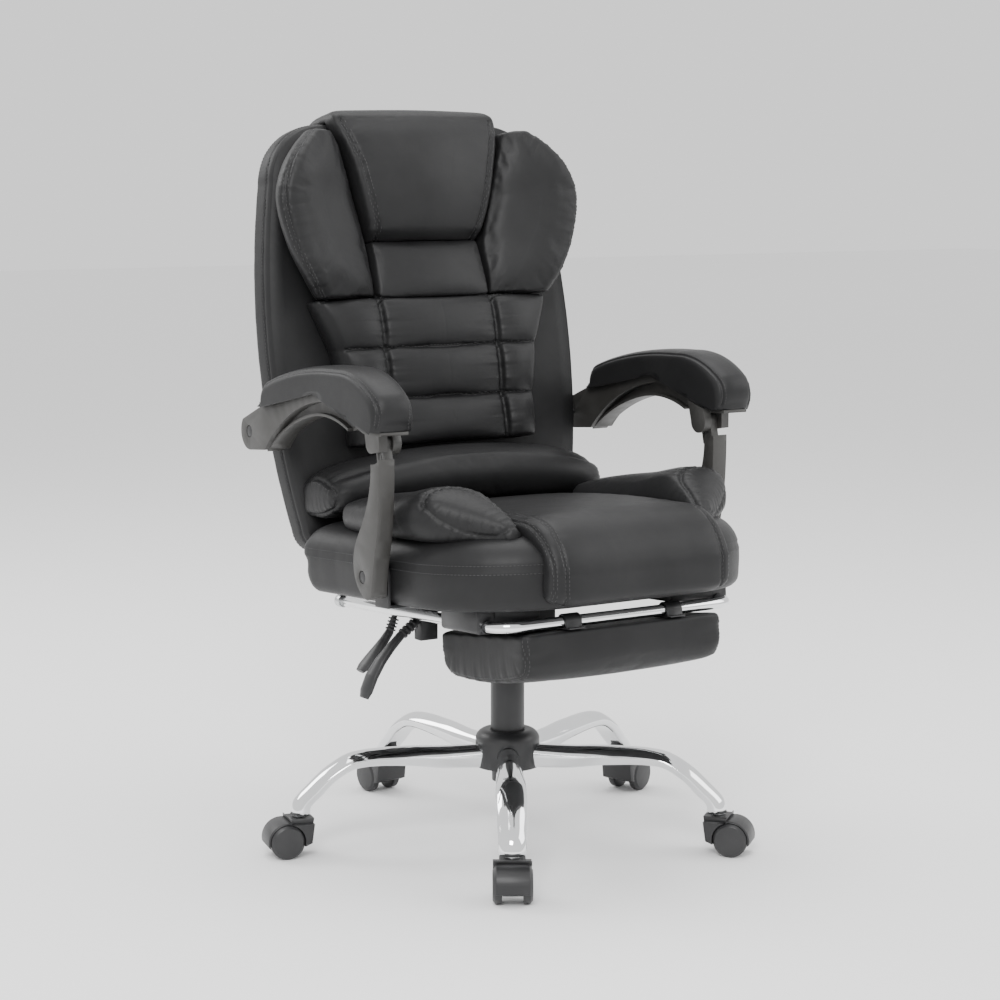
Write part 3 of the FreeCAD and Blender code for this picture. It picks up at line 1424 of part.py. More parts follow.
def arm_post():
    """Curved blade from the bolt at the seat to the eye under the arm."""
    x0 = POST_INNER
    x1 = POST_INNER + POST_THICKNESS
    ay = POST_FOOT_Y
    az = POST_FOOT_Z
    by = POST_TOP_Y
    bz = POST_TOP_Z
    shoulder = bz - 15.0
    rear = [
        vec(x0, ay - 2.0, az - 26.0),
        vec(x0, ay + 18.0, az - 6.0),
        vec(x0, ay + 24.0, az + 24.0),
        vec(x0, ay - 3.0, az + 78.0),
        vec(x0, by + 6.0, bz - 62.0),
        vec(x0, by + 4.0, shoulder),
    ]
    front = [
        vec(x0, by - 20.0, shoulder),
        vec(x0, by - 19.0, bz - 74.0),
        vec(x0, ay - 40.0, az + 56.0),
        vec(x0, ay - 31.0, az + 16.0),
        vec(x0, ay - 26.0, az - 22.0),
    ]
    edges = [
        spline(rear),
        line(rear[-1], front[0]),
        spline(front),
        arc(front[-1], vec(x0, ay - 14.0, az - 30.0), rear[0]),
    ]
    blade = extruded(edges, vec(POST_THICKNESS, 0, 0))
    top = vec(0, by, bz)
    blade = blade.cut(cylinder(top + vec(x0 - 1, 0, 0), top + vec(x1 + 1, 0, 0), SHOULDER_RADIUS))
    eye = cylinder(top + vec(x0, 0, 0), top + vec(x0 + EYE_THICKNESS, 0, 0), EYE_RADIUS)
    neck = side_plate(
        [(by - EYE_RADIUS + 1, bz), (by + EYE_RADIUS - 1, bz), (by + 4.0, bz - SHOULDER_RADIUS - 6),
         (by - 19.5, bz - SHOULDER_RADIUS - 6)],
        x0, x0 + EYE_THICKNESS,
    )
    foot = vec(0, ay, az)
    boss = cylinder(foot + vec(x0 - 6.0, 0, 0), foot + vec(x0, 0, 0), STRAP_HEAD_RADIUS - 4.0)
    post = fused([blade, eye, neck, boss])
    pin_hole = cylinder(top + vec(x0 - 1, 0, 0), top + vec(x1, 0, 0), ARM_PIN_RADIUS)
    bolt_hole = cylinder(foot + vec(x0 - 8, 0, 0), foot + vec(x1 + 1, 0, 0), BOLT_RADIUS + HINGE_FIT)
    recess = cylinder(
        foot + vec(x1 - BOLT_HEAD - 1.0 - RUN, 0, 0), foot + vec(x1 + 1, 0, 0), BOLT_HEAD_RADIUS + 1.0
    )
    return post.cut(pin_hole).cut(bolt_hole).cut(recess)


def arm_front_pin():
    top = vec(0, POST_TOP_Y, POST_TOP_Z)
    start = LOBE_INNER + 3.0
    return cylinder(
        top + vec(start, 0, 0), top + vec(POST_INNER + POST_THICKNESS - 4.0, 0, 0), ARM_PIN_RADIUS
    )


# Seam between the arm frame and its pad in side view: (y, z) ends and middles of three arcs
ARM_SEAM = (
    (180.0, 645.5), (97.0, 673.5), (9.0, 685.0), (-52.0, 679.0), (-92.0, 660.0),
    (-115.0, 644.5), (-144.0, 636.5),
)
ARM_NOSE_Y = -168.0
ARM_LIP = (
    (172.0, 582.0), (99.0, 637.0), (4.0, 665.5), (-56.0, 658.0), (-100.0, 639.0),
    (-118.0, 632.5), (-140.0, 631.0),
)
ARM_RIB = ((176.0, 579.0), (115.0, 617.0), (40.0, 641.5), (-22.0, 642.0), (-64.0, 630.0))


def side_arcs(places, x, lift=0.0):
    """Arcs through every other (y, z) place of a side view."""
    points = [vec(x, y, z + lift) for y, z in places]
    return [arc(points[i], points[i + 1], points[i + 2]) for i in range(0, len(points) - 2, 2)]


def first_point(places, x, lift=0.0):
    y, z = places[0]
    return vec(x, y, z + lift)


def last_point(places, x, lift=0.0):
    y, z = places[-1]
    return vec(x, y, z + lift)


def arm_frame():
    x0 = ARM_INNER
    seam_end = last_point(ARM_SEAM, x0)
    lip_start = first_point(ARM_LIP, x0)
    lip_end = last_point(ARM_LIP, x0)
    nose_top = vec(x0, ARM_NOSE_Y, seam_end.z + 0.5)
    nose_low = vec(x0, ARM_NOSE_Y, lip_end.z + 1.5)
    crown = vec(x0, ARM_REAR_Y + 20.0, ARM_REAR_Z + 17.0)
    lobe_rear = vec(x0, ARM_REAR_Y + 24.0, ARM_REAR_Z - 10.0)
    lobe_low = vec(x0, ARM_REAR_Y - 2.0, ARM_REAR_Z - 27.0)
    outline = side_arcs(ARM_SEAM, x0)
    outline += [
        line(seam_end, nose_top),
        line(nose_top, nose_low),
        line(nose_low, lip_end),
    ]
    outline += side_arcs(ARM_LIP, x0)
    outline += [
        line(lip_start, lobe_low),
        arc(lobe_low, lobe_rear, crown),
        line(crown, first_point(ARM_SEAM, x0)),
    ]
    band = extruded(Part.__sortEdges__(outline), vec(ARM_OUTER - ARM_INNER, 0, 0))

    middle = (ARM_INNER + ARM_OUTER) / 2
    keel_x = middle - KEEL_THICKNESS / 2
    keel_top = ARM_LIP[:5]
    sink = 1.5
    keel_outline = side_arcs(ARM_RIB, keel_x) + side_arcs(keel_top, keel_x, sink)
    keel_outline.append(line(last_point(ARM_RIB, keel_x), last_point(keel_top, keel_x, sink)))
    keel_outline.append(line(first_point(keel_top, keel_x, sink), first_point(ARM_RIB, keel_x)))
    keel = extruded(Part.__sortEdges__(keel_outline), vec(KEEL_THICKNESS, 0, 0))

    rib_x = middle - RIB_WIDTH / 2
    rib_outline = side_arcs(ARM_RIB, rib_x) + side_arcs(ARM_RIB, rib_x, RIB_THICKNESS)
    for place in (first_point, last_point):
        rib_outline.append(line(place(ARM_RIB, rib_x), place(ARM_RIB, rib_x, RIB_THICKNESS)))
    flange = extruded(Part.__sortEdges__(rib_outline), vec(RIB_WIDTH, 0, 0))

    by = POST_TOP_Y
    bz = POST_TOP_Z
    top_pin = vec(0, by, bz)
    inner_face = POST_INNER - RUN
    lobe = cylinder(top_pin + vec(LOBE_INNER, 0, 0), top_pin + vec(inner_face, 0, 0), LOBE_RADIUS)
    lobe_strap = side_plate(
        [(by - LOBE_RADIUS, bz), (by + LOBE_RADIUS, bz), (by + 26.0, bz + 30.0), (by - 12.0, bz + 20.0)],
        LOBE_INNER, inner_face,
    )
    knuckle_x = POST_INNER + EYE_THICKNESS + RUN
    knuckle_end = POST_INNER + POST_THICKNESS + 1.0
    knuckle = cylinder(top_pin + vec(knuckle_x, 0, 0), top_pin + vec(knuckle_end, 0, 0), EYE_RADIUS)
    bracket = side_plate(
        [(by - 23.0, bz - 9.0), (by, bz - EYE_RADIUS), (by + EYE_RADIUS, bz), (by + 20.0, bz + 30.0),
         (by - 23.0, bz + 16.5)],
        knuckle_x, knuckle_end,
    )
    pin_hole = cylinder(
        top_pin + vec(LOBE_INNER + 3.0 - RUN, 0, 0),
        top_pin + vec(POST_INNER + POST_THICKNESS - 4.0 + RUN, 0, 0),
        ARM_PIN_RADIUS + HINGE_FIT,
    )
    pivot = vec(0, ARM_REAR_Y, ARM_REAR_Z)
    bolt_hole = cylinder(
        pivot + vec(ARM_INNER - 1, 0, 0), pivot + vec(ARM_OUTER + 1, 0, 0), BOLT_RADIUS + HINGE_FIT
    )
    recess = cylinder(
        pivot + vec(ARM_OUTER - BOLT_HEAD - 0.5 - RUN, 0, 0), pivot + vec(ARM_OUTER + 1, 0, 0),
        BOLT_HEAD_RADIUS + 1.0,
    )
    frame = fused([band, keel, flange, lobe, lobe_strap, knuckle, bracket])
    return frame.cut(pin_hole).cut(bolt_hole).cut(recess)


# Crest of the padded arm in side view: (y, z) ends and middles of its arcs
PAD_CREST = (
    (176.0, 660.0), (172.0, 674.0), (160.0, 684.0), (60.0, 708.5), (-56.0, 718.0),
    (-124.0, 709.0), (-164.0, 688.0), (-175.0, 668.0), (-171.0, 648.0),
)


def pad_section(x, inset):
    """Side view of the arm pad: its underside follows the frame and its crest sinks with the inset."""
    at = PAD_CENTRE + x
    rear = first_point(ARM_SEAM, at, RUN)
    front = last_point(ARM_SEAM, at, RUN)
    tip = vec(at, ARM_NOSE_Y + inset * 0.9, front.z + 0.5)
    share = 1 - inset / 190.0
    crest = [(y * share, z - inset) for y, z in PAD_CREST]
    outline = side_arcs(ARM_SEAM, at, RUN) + side_arcs(crest, at)
    outline.append(line(rear, first_point(crest, at)))
    outline.append(line(last_point(crest, at), tip))
    outline.append(line(tip, front))
    return Part.Wire(Part.__sortEdges__(outline))


def arm_pad():
    return crowned(pad_section, PAD_HALF_WIDTH, 14.0, NARROW_CROWN_SHARES)


def armrests():
    pieces = {
        "arm_post": arm_post(),
        "arm_front_pin": arm_front_pin(),
        "arm_frame": arm_frame(),
        "arm_pad": arm_pad(),
    }
    for name, shape in pieces.items():
        save(shape, name + "_left")
        save(mirrored(shape), name + "_right")


# Footrest: bent tube that slides in the guides, and a pad that flips over its crossbar

CROSSBAR_PLACE = seat_point(CROSSBAR_Y, -RAIL_DROP)


def rail_tube(radius):
    """Bar of the footrest frame: two rails, two quarter bends and the crossbar."""
    z = SEAT_HEIGHT - RAIL_DROP
    near = CROSSBAR_Y + RAIL_BEND
    reach = RAIL_X - RAIL_BEND
    pieces = [cylinder(vec(-reach, CROSSBAR_Y, z), vec(reach, CROSSBAR_Y, z), radius)]
    for side in (-1, 1):
        x = side * RAIL_X
        pieces.append(cylinder(vec(x, near, z), vec(x, RAIL_REAR, z), radius))
        bend = Part.makeTorus(RAIL_BEND, radius, vec(0, 0, 0), vec(0, 0, 1), -180, 180, 90)
        bend = turned(bend, -90 if side > 0 else -180)
        pieces.append(moved(bend, side * reach, near, z))
    return fused(pieces)


def footrest_frame():
    save(tilted(rail_tube(TUBE_R).cut(rail_tube(TUBE_R - TUBE_THICKNESS))), "footrest_frame")


def footrest_end_stops():
    z = SEAT_HEIGHT - RAIL_DROP
    centre = vec(RAIL_X, RAIL_REAR, z)
    collar = ring(centre - vec(0, STOP_LENGTH, 0), centre, STOP_RADIUS, TUBE_R)
    cap = cylinder(centre, centre + vec(0, 2.0, 0), STOP_RADIUS)
    stop = tilted(fused([collar, cap]))
    save(group([stop, mirrored(stop)]), "footrest_end_stops")


# The stowed pad hangs level with its own line, then droops to the rear about the crossbar
PAD_TOP_BELOW_BAR = TUBE_R + 3.0
PAD_AHEAD_OF_BAR = 14.0


def drooped(shape):
    """Turn a shape drawn level about the crossbar into the droop of the stowed pad."""
    copy = turned(shape, -FOOTREST_DROOP, vec(0, 0, 0), vec(1, 0, 0))
    y, z = CROSSBAR_PLACE
    copy.translate(vec(0, y, z))
    return copy


def footrest_section(x, inset):
    """Side view of the footrest pad below the crossbar, with round lower edges."""
    top = -PAD_TOP_BELOW_BAR - inset * 0.5
    low = -PAD_TOP_BELOW_BAR - FOOTREST_THICKNESS + inset
    front = inset - PAD_AHEAD_OF_BAR
    rear = FOOTREST_LENGTH - PAD_AHEAD_OF_BAR - inset
    return Part.Wire([
        line(vec(x, rear - 5.0, top), vec(x, front + 5.0, top)),
        arc(vec(x, front + 5.0, top), vec(x, front + 1.5, top - 1.5), vec(x, front, top - 5.0)),
        line(vec(x, front, top - 5.0), vec(x, front + 2.0, low + 20.0)),
        arc(vec(x, front + 2.0, low + 20.0), vec(x, front + 9.0, low + 7.0), vec(x, front + 24.0, low)),
        arc(vec(x, front + 24.0, low), vec(x, (front + rear) / 2, low - 6.0), vec(x, rear - 24.0, low)),
        arc(vec(x, rear - 24.0, low), vec(x, rear - 9.0, low + 7.0), vec(x, rear - 2.0, low + 20.0)),
        line(vec(x, rear - 2.0, low + 20.0), vec(x, rear, top - 5.0)),
        arc(vec(x, rear, top - 5.0), vec(x, rear - 1.5, top - 1.5), vec(x, rear - 5.0, top)),
    ])


def footrest_pad():
    save(drooped(crowned(footrest_section, FOOTREST_HALF_WIDTH, 9.0)), "footrest_pad")


def footrest_hinge_clips():
    """Saddles on the pad that turn on the crossbar."""
    solids = []
    outer = TUBE_R + RUN + CLIP_WALL
    for side in (-1, 1):
        x0 = side * CLIP_X - CLIP_WIDTH / 2
        x1 = side * CLIP_X + CLIP_WIDTH / 2
        barrel = cylinder(vec(x0, 0, 0), vec(x1, 0, 0), outer)
        base = block(x0, x1, -18.0, 22.0, -PAD_TOP_BELOW_BAR + 0.5, -TUBE_R - RUN)
        foot = block(x0, x1, -outer, outer, -PAD_TOP_BELOW_BAR + 0.5, 0.0)
        solid = fused([barrel, foot, base])
        below = block(x0 - 1, x1 + 1, -60, 60, -40, -PAD_TOP_BELOW_BAR + 0.5)
        bore = cylinder(vec(x0 - 1, 0, 0), vec(x1 + 1, 0, 0), TUBE_R + RUN)
        solids.append(drooped(solid.cut(bore).cut(below)))
    save(group(solids), "footrest_hinge_clips")


def build():
    os.makedirs("parts", exist_ok=True)
    base_legs()
    base_hub()
    hub_cover()
    caster_stems()
    lift_outer_tube()
    lift_guide_bush()
    casters()
    lift_piston_rod()
    lift_thrust_bearing()
    lift_cylinder()
    lift_release_pin()
    seat_pan()
    seat_cushion()
    seat_front_panel()
    seat_bolsters()
    mechanism_housing()
    seat_bolts()
    recline_pivot_pins()
    recline_strut_cylinder()
    recline_strut_rod()
    footrest_guides()
    lever_guide()
    height_lever()
    recline_lever()
    back_board()
    back_cushion()
    back_bracket()
    back_bolts()
    back_tufted_panel()
    back_wings()
    headrest_pillow()
    lumbar_roll()
    armrests()
    footrest_frame()
    footrest_end_stops()
    footrest_pad()
    footrest_hinge_clips()


build()
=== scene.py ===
import json
import math

import bmesh
import bpy
import numpy as np
from mathutils import Matrix, Vector
from mathutils.bvhtree import BVHTree
from mathutils.kdtree import KDTree


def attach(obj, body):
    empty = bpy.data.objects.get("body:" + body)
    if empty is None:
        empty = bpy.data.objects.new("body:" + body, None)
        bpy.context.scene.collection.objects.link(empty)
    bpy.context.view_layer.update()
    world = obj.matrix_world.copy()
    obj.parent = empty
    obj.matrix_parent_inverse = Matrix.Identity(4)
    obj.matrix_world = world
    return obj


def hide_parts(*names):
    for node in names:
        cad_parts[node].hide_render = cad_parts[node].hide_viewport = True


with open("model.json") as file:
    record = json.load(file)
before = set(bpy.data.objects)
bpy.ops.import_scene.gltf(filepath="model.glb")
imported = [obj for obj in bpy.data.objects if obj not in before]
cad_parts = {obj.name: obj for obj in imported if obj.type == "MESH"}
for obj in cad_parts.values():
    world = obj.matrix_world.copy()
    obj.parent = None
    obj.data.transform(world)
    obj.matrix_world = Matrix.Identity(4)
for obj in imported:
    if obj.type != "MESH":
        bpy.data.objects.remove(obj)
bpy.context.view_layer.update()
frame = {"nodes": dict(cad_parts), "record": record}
NODES = frame["nodes"]
MM = 0.001

# Sizes shared with the solids, in millimetres
RUN = 0.3
SEAT_TILT = 3.43
SEAT_HEIGHT = 383.0
SEAT_HALF_WIDTH = 262.0
SEAT_FRONT = -326.0
SEAT_REAR = 168.0
SEAT_FRONT_CORNER = 165.0
SEAT_REAR_CORNER = 32.0
SEAT_REAR_SLANT = 28.0
PAN_THICKNESS = 12.0
SEAM_HEIGHT = 58.0
BOX_HEIGHT = 103.0
PANEL_HALF_WIDTH = 149.0
PANEL_TOP = 124.0
PANEL_FRONT_THICKNESS = 25.0
PANEL_DROP = 8.0
PANEL_REAR = 150.0
BOLSTER_INNER = 151.0
BACK_LEAN = 10.0
BACK_FOOT_Y = 174.0
BACK_FOOT_Z = 425.0
BACK_HEIGHT = 640.0
SHELL_THICKNESS = 62.0
ROLL_HALF_LENGTH = 238.0
ROLL_HEIGHT = 96.5
ROLL_SAG = 22.0
ROLL_DEPTH = 114.0
TUFT_HALF_WIDTH = 100.0
HEADREST_TOP = 659.0
STEM_CIRCLE = 320.0
FIRST_LEG_ANGLE = -31.8
LEG_END = 61.0
PAD_CENTRE = 290.0
PAD_HALF_WIDTH = 32.0
ARM_NOSE_Y = -168.0
CROSSBAR_Y = -285.0
RAIL_DROP = 22.0
FOOTREST_HALF_WIDTH = 166.0
FOOTREST_LENGTH = 228.0
FOOTREST_THICKNESS = 66.0
FOOTREST_DROOP = 7.6
PAD_TOP_BELOW_BAR = 11.0
PAD_AHEAD_OF_BAR = 14.0


# Curves and surfaces as arrays of points

def arc(a, middle, b, count=18):
    """Points along the arc through three points, without its last one."""
    a, middle, b = (np.array(p, float) for p in (a, middle, b))
    u = middle - a
    v = b - a
    w = np.cross(u, v)
    size = w.dot(w)
    if size < 1e-6:
        return line(a, b, count)
    centre = a + (np.cross(w, u) * v.dot(v) + np.cross(v, w) * u.dot(u)) / (2 * size)
    first = a - centre
    radius = np.linalg.norm(first)
    first = first / radius
    second = np.cross(w / math.sqrt(size), first)
    to_end = b - centre
    sweep = math.atan2(to_end.dot(second), to_end.dot(first)) % (2 * math.pi)
    turn = np.linspace(0, sweep, count + 1)[:-1, None]
    return centre + radius * (np.cos(turn) * first + np.sin(turn) * second)


def line(a, b, count=8):
    share = np.linspace(0, 1, count + 1)[:-1, None]
    return np.array(a, float) * (1 - share) + np.array(b, float) * share


def resampled(points, count, closed=True):
    """The same polyline with equal steps along its length."""
    points = np.asarray(points, float)
    if closed:
        points = np.vstack([points, points[:1]])
    steps = np.linalg.norm(np.diff(points, axis=0), axis=1)
    place = np.concatenate([[0], np.cumsum(steps)])
    wanted = np.linspace(0, place[-1], count + 1 if closed else count)
    if closed:
        wanted = wanted[:-1]
    return np.stack([np.interp(wanted, place, points[:, k]) for k in range(3)], axis=1)


def smooth_stations(stations, count, run):
    """The same run of stations at equal steps, measured along their first values."""
    table = np.array(stations, float)
    steps = np.linalg.norm(np.diff(table[:, :run], axis=0), axis=1)
    knots = np.concatenate([[0], np.cumsum(steps)])
    slopes = np.empty_like(table)
    for index in range(len(table)):
        low = max(index - 1, 0)
        high = min(index + 1, len(table) - 1)
        slopes[index] = (table[high] - table[low]) / (knots[high] - knots[low])
    result = []
    for place in np.linspace(0, knots[-1], count + 1):
        segment = min(int(np.searchsorted(knots, place, side="right")) - 1, len(table) - 2)
        gap = knots[segment + 1] - knots[segment]
        t = (place - knots[segment]) / gap
        rise = t * t * (3 - 2 * t)
        leave = t * (1 - t) ** 2 * gap
        arrive = t * t * (t - 1) * gap
        result.append(
            table[segment] + (table[segment + 1] - table[segment]) * rise
            + slopes[segment] * leave + slopes[segment + 1] * arrive
        )
    return result


def about_x(points, degrees, y=0.0, z=0.0):
    turn = math.radians(degrees)
    points = np.array(points, float)
    dy = points[..., 1] - y
    dz = points[..., 2] - z
    points[..., 1] = y + dy * math.cos(turn) - dz * math.sin(turn)
    points[..., 2] = z + dy * math.sin(turn) + dz * math.cos(turn)
    return points


def tilted(points):
    return about_x(points, -SEAT_TILT, 0, SEAT_HEIGHT)


def leaned(points):
    return about_x(points, -BACK_LEAN) + np.array([0, BACK_FOOT_Y, BACK_FOOT_Z])


def drooped(points):
    turn = math.radians(-SEAT_TILT)
    y = CROSSBAR_Y * math.cos(turn) + RAIL_DROP * math.sin(turn)
    z = SEAT_HEIGHT + CROSSBAR_Y * math.sin(turn) - RAIL_DROP * math.cos(turn)
    return about_x(points, -FOOTREST_DROOP) + np.array([0, y, z])


def mirrored(points):
    return np.array(points, float) * np.array([-1, 1, 1])


def crowned(section, half, edge_inset, steps, count, power=8):
    """Rows of a section across a soft shape that swells from its ends to its middle."""
    rows = []
    for turn in np.linspace(-math.pi / 2, math.pi / 2, steps):
        place = 0.62 * math.sin(turn) + 0.38 * turn / (math.pi / 2)
        share = 1 - math.sqrt(max(0.0, 1 - abs(place) ** power))
        rows.append(resampled(section(half * place, edge_inset * share), count))
    return np.array(rows)


def closed_line(points):
    """An outline with its first point repeated at the end."""
    return np.vstack([points, points[:1]])


def mesh_object(name, vertices, faces):
    mesh = bpy.data.meshes.new(name)
    mesh.from_pydata([tuple(v) for v in np.asarray(vertices) * MM], [], faces)
    mesh.validate()
    mesh.update()
    obj = bpy.data.objects.new(name, mesh)
    bpy.context.scene.collection.objects.link(obj)
    mesh.polygons.foreach_set("use_smooth", [True] * len(mesh.polygons))
    return obj


def skin(name, rows, rings=5, caps=True):
    """Closed skin through rows of equally many points, with ends filled by shrinking rings."""
    rows = np.asarray(rows, float)
    if caps:
        first = rows[0]
        last = rows[-1]
        shares = [k / rings for k in range(1, rings)]
        head = [first.mean(axis=0) + (first - first.mean(axis=0)) * s for s in shares]
        tail = [last.mean(axis=0) + (last - last.mean(axis=0)) * s for s in reversed(shares)]
        rows = np.concatenate([np.array(head), rows, np.array(tail)])
    total, count, _ = rows.shape
    grid = np.arange(total * count).reshape(total, count)
    a = grid[:-1, :]
    b = np.roll(a, -1, axis=1)
    c = grid[1:, :]
    d = np.roll(c, -1, axis=1)
    faces = np.stack([a, b, d, c], axis=-1).reshape(-1, 4).tolist()
    vertices = rows.reshape(-1, 3)
    if caps:
        start = len(vertices)
        vertices = np.vstack([vertices, rows[0].mean(axis=0), rows[-1].mean(axis=0)])
        for k in range(count):
            faces.append([start, (k + 1) % count, k])
            faces.append([start + 1, (total - 1) * count + k, (total - 1) * count + (k + 1) % count])
    obj = mesh_object(name, vertices, faces)
    outward(obj)
    return obj


def outward(obj):
    work = bmesh.new()
    work.from_mesh(obj.data)
    bmesh.ops.recalc_face_normals(work, faces=work.faces)
    work.to_mesh(obj.data)
    work.free()
    obj.data.update()


def points_of(obj):
    flat = np.empty(len(obj.data.vertices) * 3)
    obj.data.vertices.foreach_get("co", flat)
    return flat.reshape(-1, 3) / MM


def set_points(obj, points):
    obj.data.vertices.foreach_set("co", (np.asarray(points) * MM).astype(np.float32).ravel())
    obj.data.update()


def normals_of(obj):
    flat = np.empty(len(obj.data.vertices) * 3)
    obj.data.vertices.foreach_get("normal", flat)
    return flat.reshape(-1, 3)


def apply_modifiers(obj):
    depsgraph = bpy.context.evaluated_depsgraph_get()
    mesh = bpy.data.meshes.new_from_object(obj.evaluated_get(depsgraph))
    obj.modifiers.clear()
    obj.data = mesh
    mesh.polygons.foreach_set("use_smooth", [True] * len(mesh.polygons))


def subdivided(obj, levels=1):
    modifier = obj.modifiers.new("subdivision", "SUBSURF")
    modifier.levels = levels
    modifier.render_levels = levels
    apply_modifiers(obj)


def remeshed(obj, voxel):
    """Even mesh of the same shape; every point goes back onto the skin it came from."""
    shape = surface_of(obj)
    modifier = obj.modifiers.new("remesh", "REMESH")
    modifier.mode = "VOXEL"
    modifier.voxel_size = voxel * MM
    modifier.use_smooth_shade = True
    apply_modifiers(obj)
    set_points(obj, [np.array(shape.find_nearest(v.co)[0]) / MM for v in obj.data.vertices])


def noise_along(place, wave, seed):
    """Smooth wandering value between about -1 and 1 along a length."""
    value = np.zeros_like(place)
    generator = np.random.default_rng(seed)
    for octave, share in ((1.0, 0.5), (1.73, 0.3), (2.91, 0.2)):
        phase = generator.uniform(0, 2 * math.pi)
        value += share * np.sin(place * 2 * math.pi * octave / wave + phase)
    return value


def near_path(points, path):
    """For each point the distance to a path and the length along the path to its nearest place."""
    fine = resampled(path, max(8, int(path_length(path) / 1.5)), closed=False)
    tree = KDTree(len(fine))
    for index, p in enumerate(fine):
        tree.insert(p, index)
    tree.balance()
    step = path_length(fine) / (len(fine) - 1)
    distance = np.empty(len(points))
    place = np.empty(len(points))
    for index, p in enumerate(points):
        _, nearest, away = tree.find(p)
        distance[index] = away
        place[index] = nearest * step
    return distance, place


def path_length(path):
    return float(np.linalg.norm(np.diff(np.asarray(path), axis=0), axis=1).sum())


def on_surface(obj, path):
    """The path moved to the nearest places on a piece."""
    tree = surface_of(obj)
    path = resampled(path, max(8, int(path_length(path) / 4.0)), closed=False)
    return np.array([tree.find_nearest(Vector(p * MM))[0] for p in path]) / MM


def seam(obj, path, width=3.0, depth=2.0, swell=0.0, gather=0.0, wave=16.0, reach=24.0, seed=1):
    """Presses a sewn seam into a soft piece: a groove, a swell beside it and gathers across it."""
    points = points_of(obj)
    normals = normals_of(obj)
    distance, place = near_path(points, on_surface(obj, path))
    push = -depth * np.exp(-(distance / width) ** 2)
    if swell:
        push += swell * (distance / reach) * np.exp(1 - distance / reach) * (distance < 5 * reach)
    if gather:
        fade = np.exp(-distance / reach) * (1 - np.exp(-(distance / width) ** 2))
        push += gather * fade * noise_along(place, wave, seed)
    set_points(obj, points + normals * push[:, None])


def filled(obj, voxel=6.0, pressure=4.0, cap=8.0, pins=(), pin_width=7.0, hold=None, frames=18):
    """Cloth with air pressure inside blows the piece up; seams in pins stay where they are."""
    remeshed(obj, voxel)
    before = points_of(obj)
    weight = np.zeros(len(before))
    for path in pins:
        distance, _ = near_path(before, path)
        weight = np.maximum(weight, np.clip(1.6 - distance / pin_width, 0, 1))
    if hold is not None:
        weight = np.maximum(weight, hold(before))
    group = obj.vertex_groups.new(name="held")
    for index in np.nonzero(weight > 0.02)[0]:
        group.add([int(index)], float(weight[index]), "REPLACE")
    cloth = obj.modifiers.new("cloth", "CLOTH")
    settings = cloth.settings
    settings.quality = 4
    settings.mass = 0.3
    settings.tension_stiffness = 12
    settings.compression_stiffness = 12
    settings.shear_stiffness = 6
    settings.bending_stiffness = 0.6
    settings.use_pressure = True
    settings.uniform_pressure_force = pressure
    settings.effector_weights.gravity = 0
    settings.vertex_group_mass = "held"
    settings.pin_stiffness = 1.0
    cloth.collision_settings.use_collision = False
    cloth.point_cache.frame_start = 1
    cloth.point_cache.frame_end = frames
    scene = bpy.context.scene
    for step in range(1, frames + 1):
        scene.frame_set(step)
    depsgraph = bpy.context.evaluated_depsgraph_get()
    shown = obj.evaluated_get(depsgraph).data
    flat = np.empty(len(shown.vertices) * 3)
    shown.vertices.foreach_get("co", flat)
    move = flat.reshape(-1, 3) / MM - before
    size = np.linalg.norm(move, axis=1)
    size = np.maximum(size, 1e-6)
    share = cap * np.tanh(size / cap) / size
    obj.modifiers.remove(cloth)
    obj.vertex_groups.clear()
    set_points(obj, before + move * share[:, None])
    scene.frame_set(1)


def low_hold(limit):
    """Weights that hold everything below a height."""

    def hold(points):
        return (points[:, 2] < limit).astype(float)

    return hold


# Stitches: short threads laid along a line on a surface

def surface_of(obj):
    mesh = obj.data
    vertices = [v.co for v in mesh.vertices]
    faces = [tuple(p.vertices) for p in mesh.polygons]
    return BVHTree.FromPolygons(vertices, faces)


def stitch_row(tree, path, aside, pitch, length, radius, vertices, faces):
    path = resampled(path, max(4, int(path_length(path) / pitch) * 2 + 1), closed=False)
    placed = []
    for index, p in enumerate(path):
        spot, normal, _, _ = tree.find_nearest(Vector(p * MM))
        before = path[max(index - 1, 0)]
        after = path[min(index + 1, len(path) - 1)]
        along = Vector(after - before).normalized()
        side = along.cross(normal).normalized()
        spot, normal, _, _ = tree.find_nearest(spot + side * aside * MM)
        placed.append((spot / MM, normal, along))
    for index in range(0, len(placed) - 1, 2):
        spot, normal, along = placed[index]
        side = along.cross(normal).normalized()
        start = len(vertices)
        for share, rise, thick in ((-0.5, -0.3, 0.6), (-0.3, 0.25, 1.0), (0.3, 0.25, 1.0), (0.5, -0.3, 0.6)):
            centre = spot + along * (length * share) + normal * (rise * radius)
            for k in range(5):
                turn = 2 * math.pi * k / 5
                vertices.append(centre + (side * math.cos(turn) + normal * math.sin(turn)) * radius * thick)
        for ring in range(3):
            for k in range(5):
                a = start + ring * 5 + k
                b = start + ring * 5 + (k + 1) % 5
                faces.append((a, b, b + 5, a + 5))
        faces.append(tuple(start + k for k in reversed(range(5))))
        faces.append(tuple(start + 15 + k for k in range(5)))


def stitches(name, obj, rows, body, pitch=5.5, length=3.6, radius=0.42):
    """One piece with all the threads of a cover; rows are (path, distance aside)."""
    tree = surface_of(obj)
    vertices = []
    faces = []
    for path, aside in rows:
        stitch_row(tree, path, aside, pitch, length, radius, vertices, faces)
    piece = mesh_object(name, np.array([tuple(v) for v in vertices]), faces)
    piece.data.materials.append(THREAD)
    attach(piece, body)
    return piece


# Materials

def new_material(name):
    material = bpy.data.materials.new(name)
    material.use_nodes = True
    tree = material.node_tree
    shader = tree.nodes["Principled BSDF"]
    place = tree.nodes.new("ShaderNodeTexCoord")
    return material, tree, shader, place.outputs["Object"]


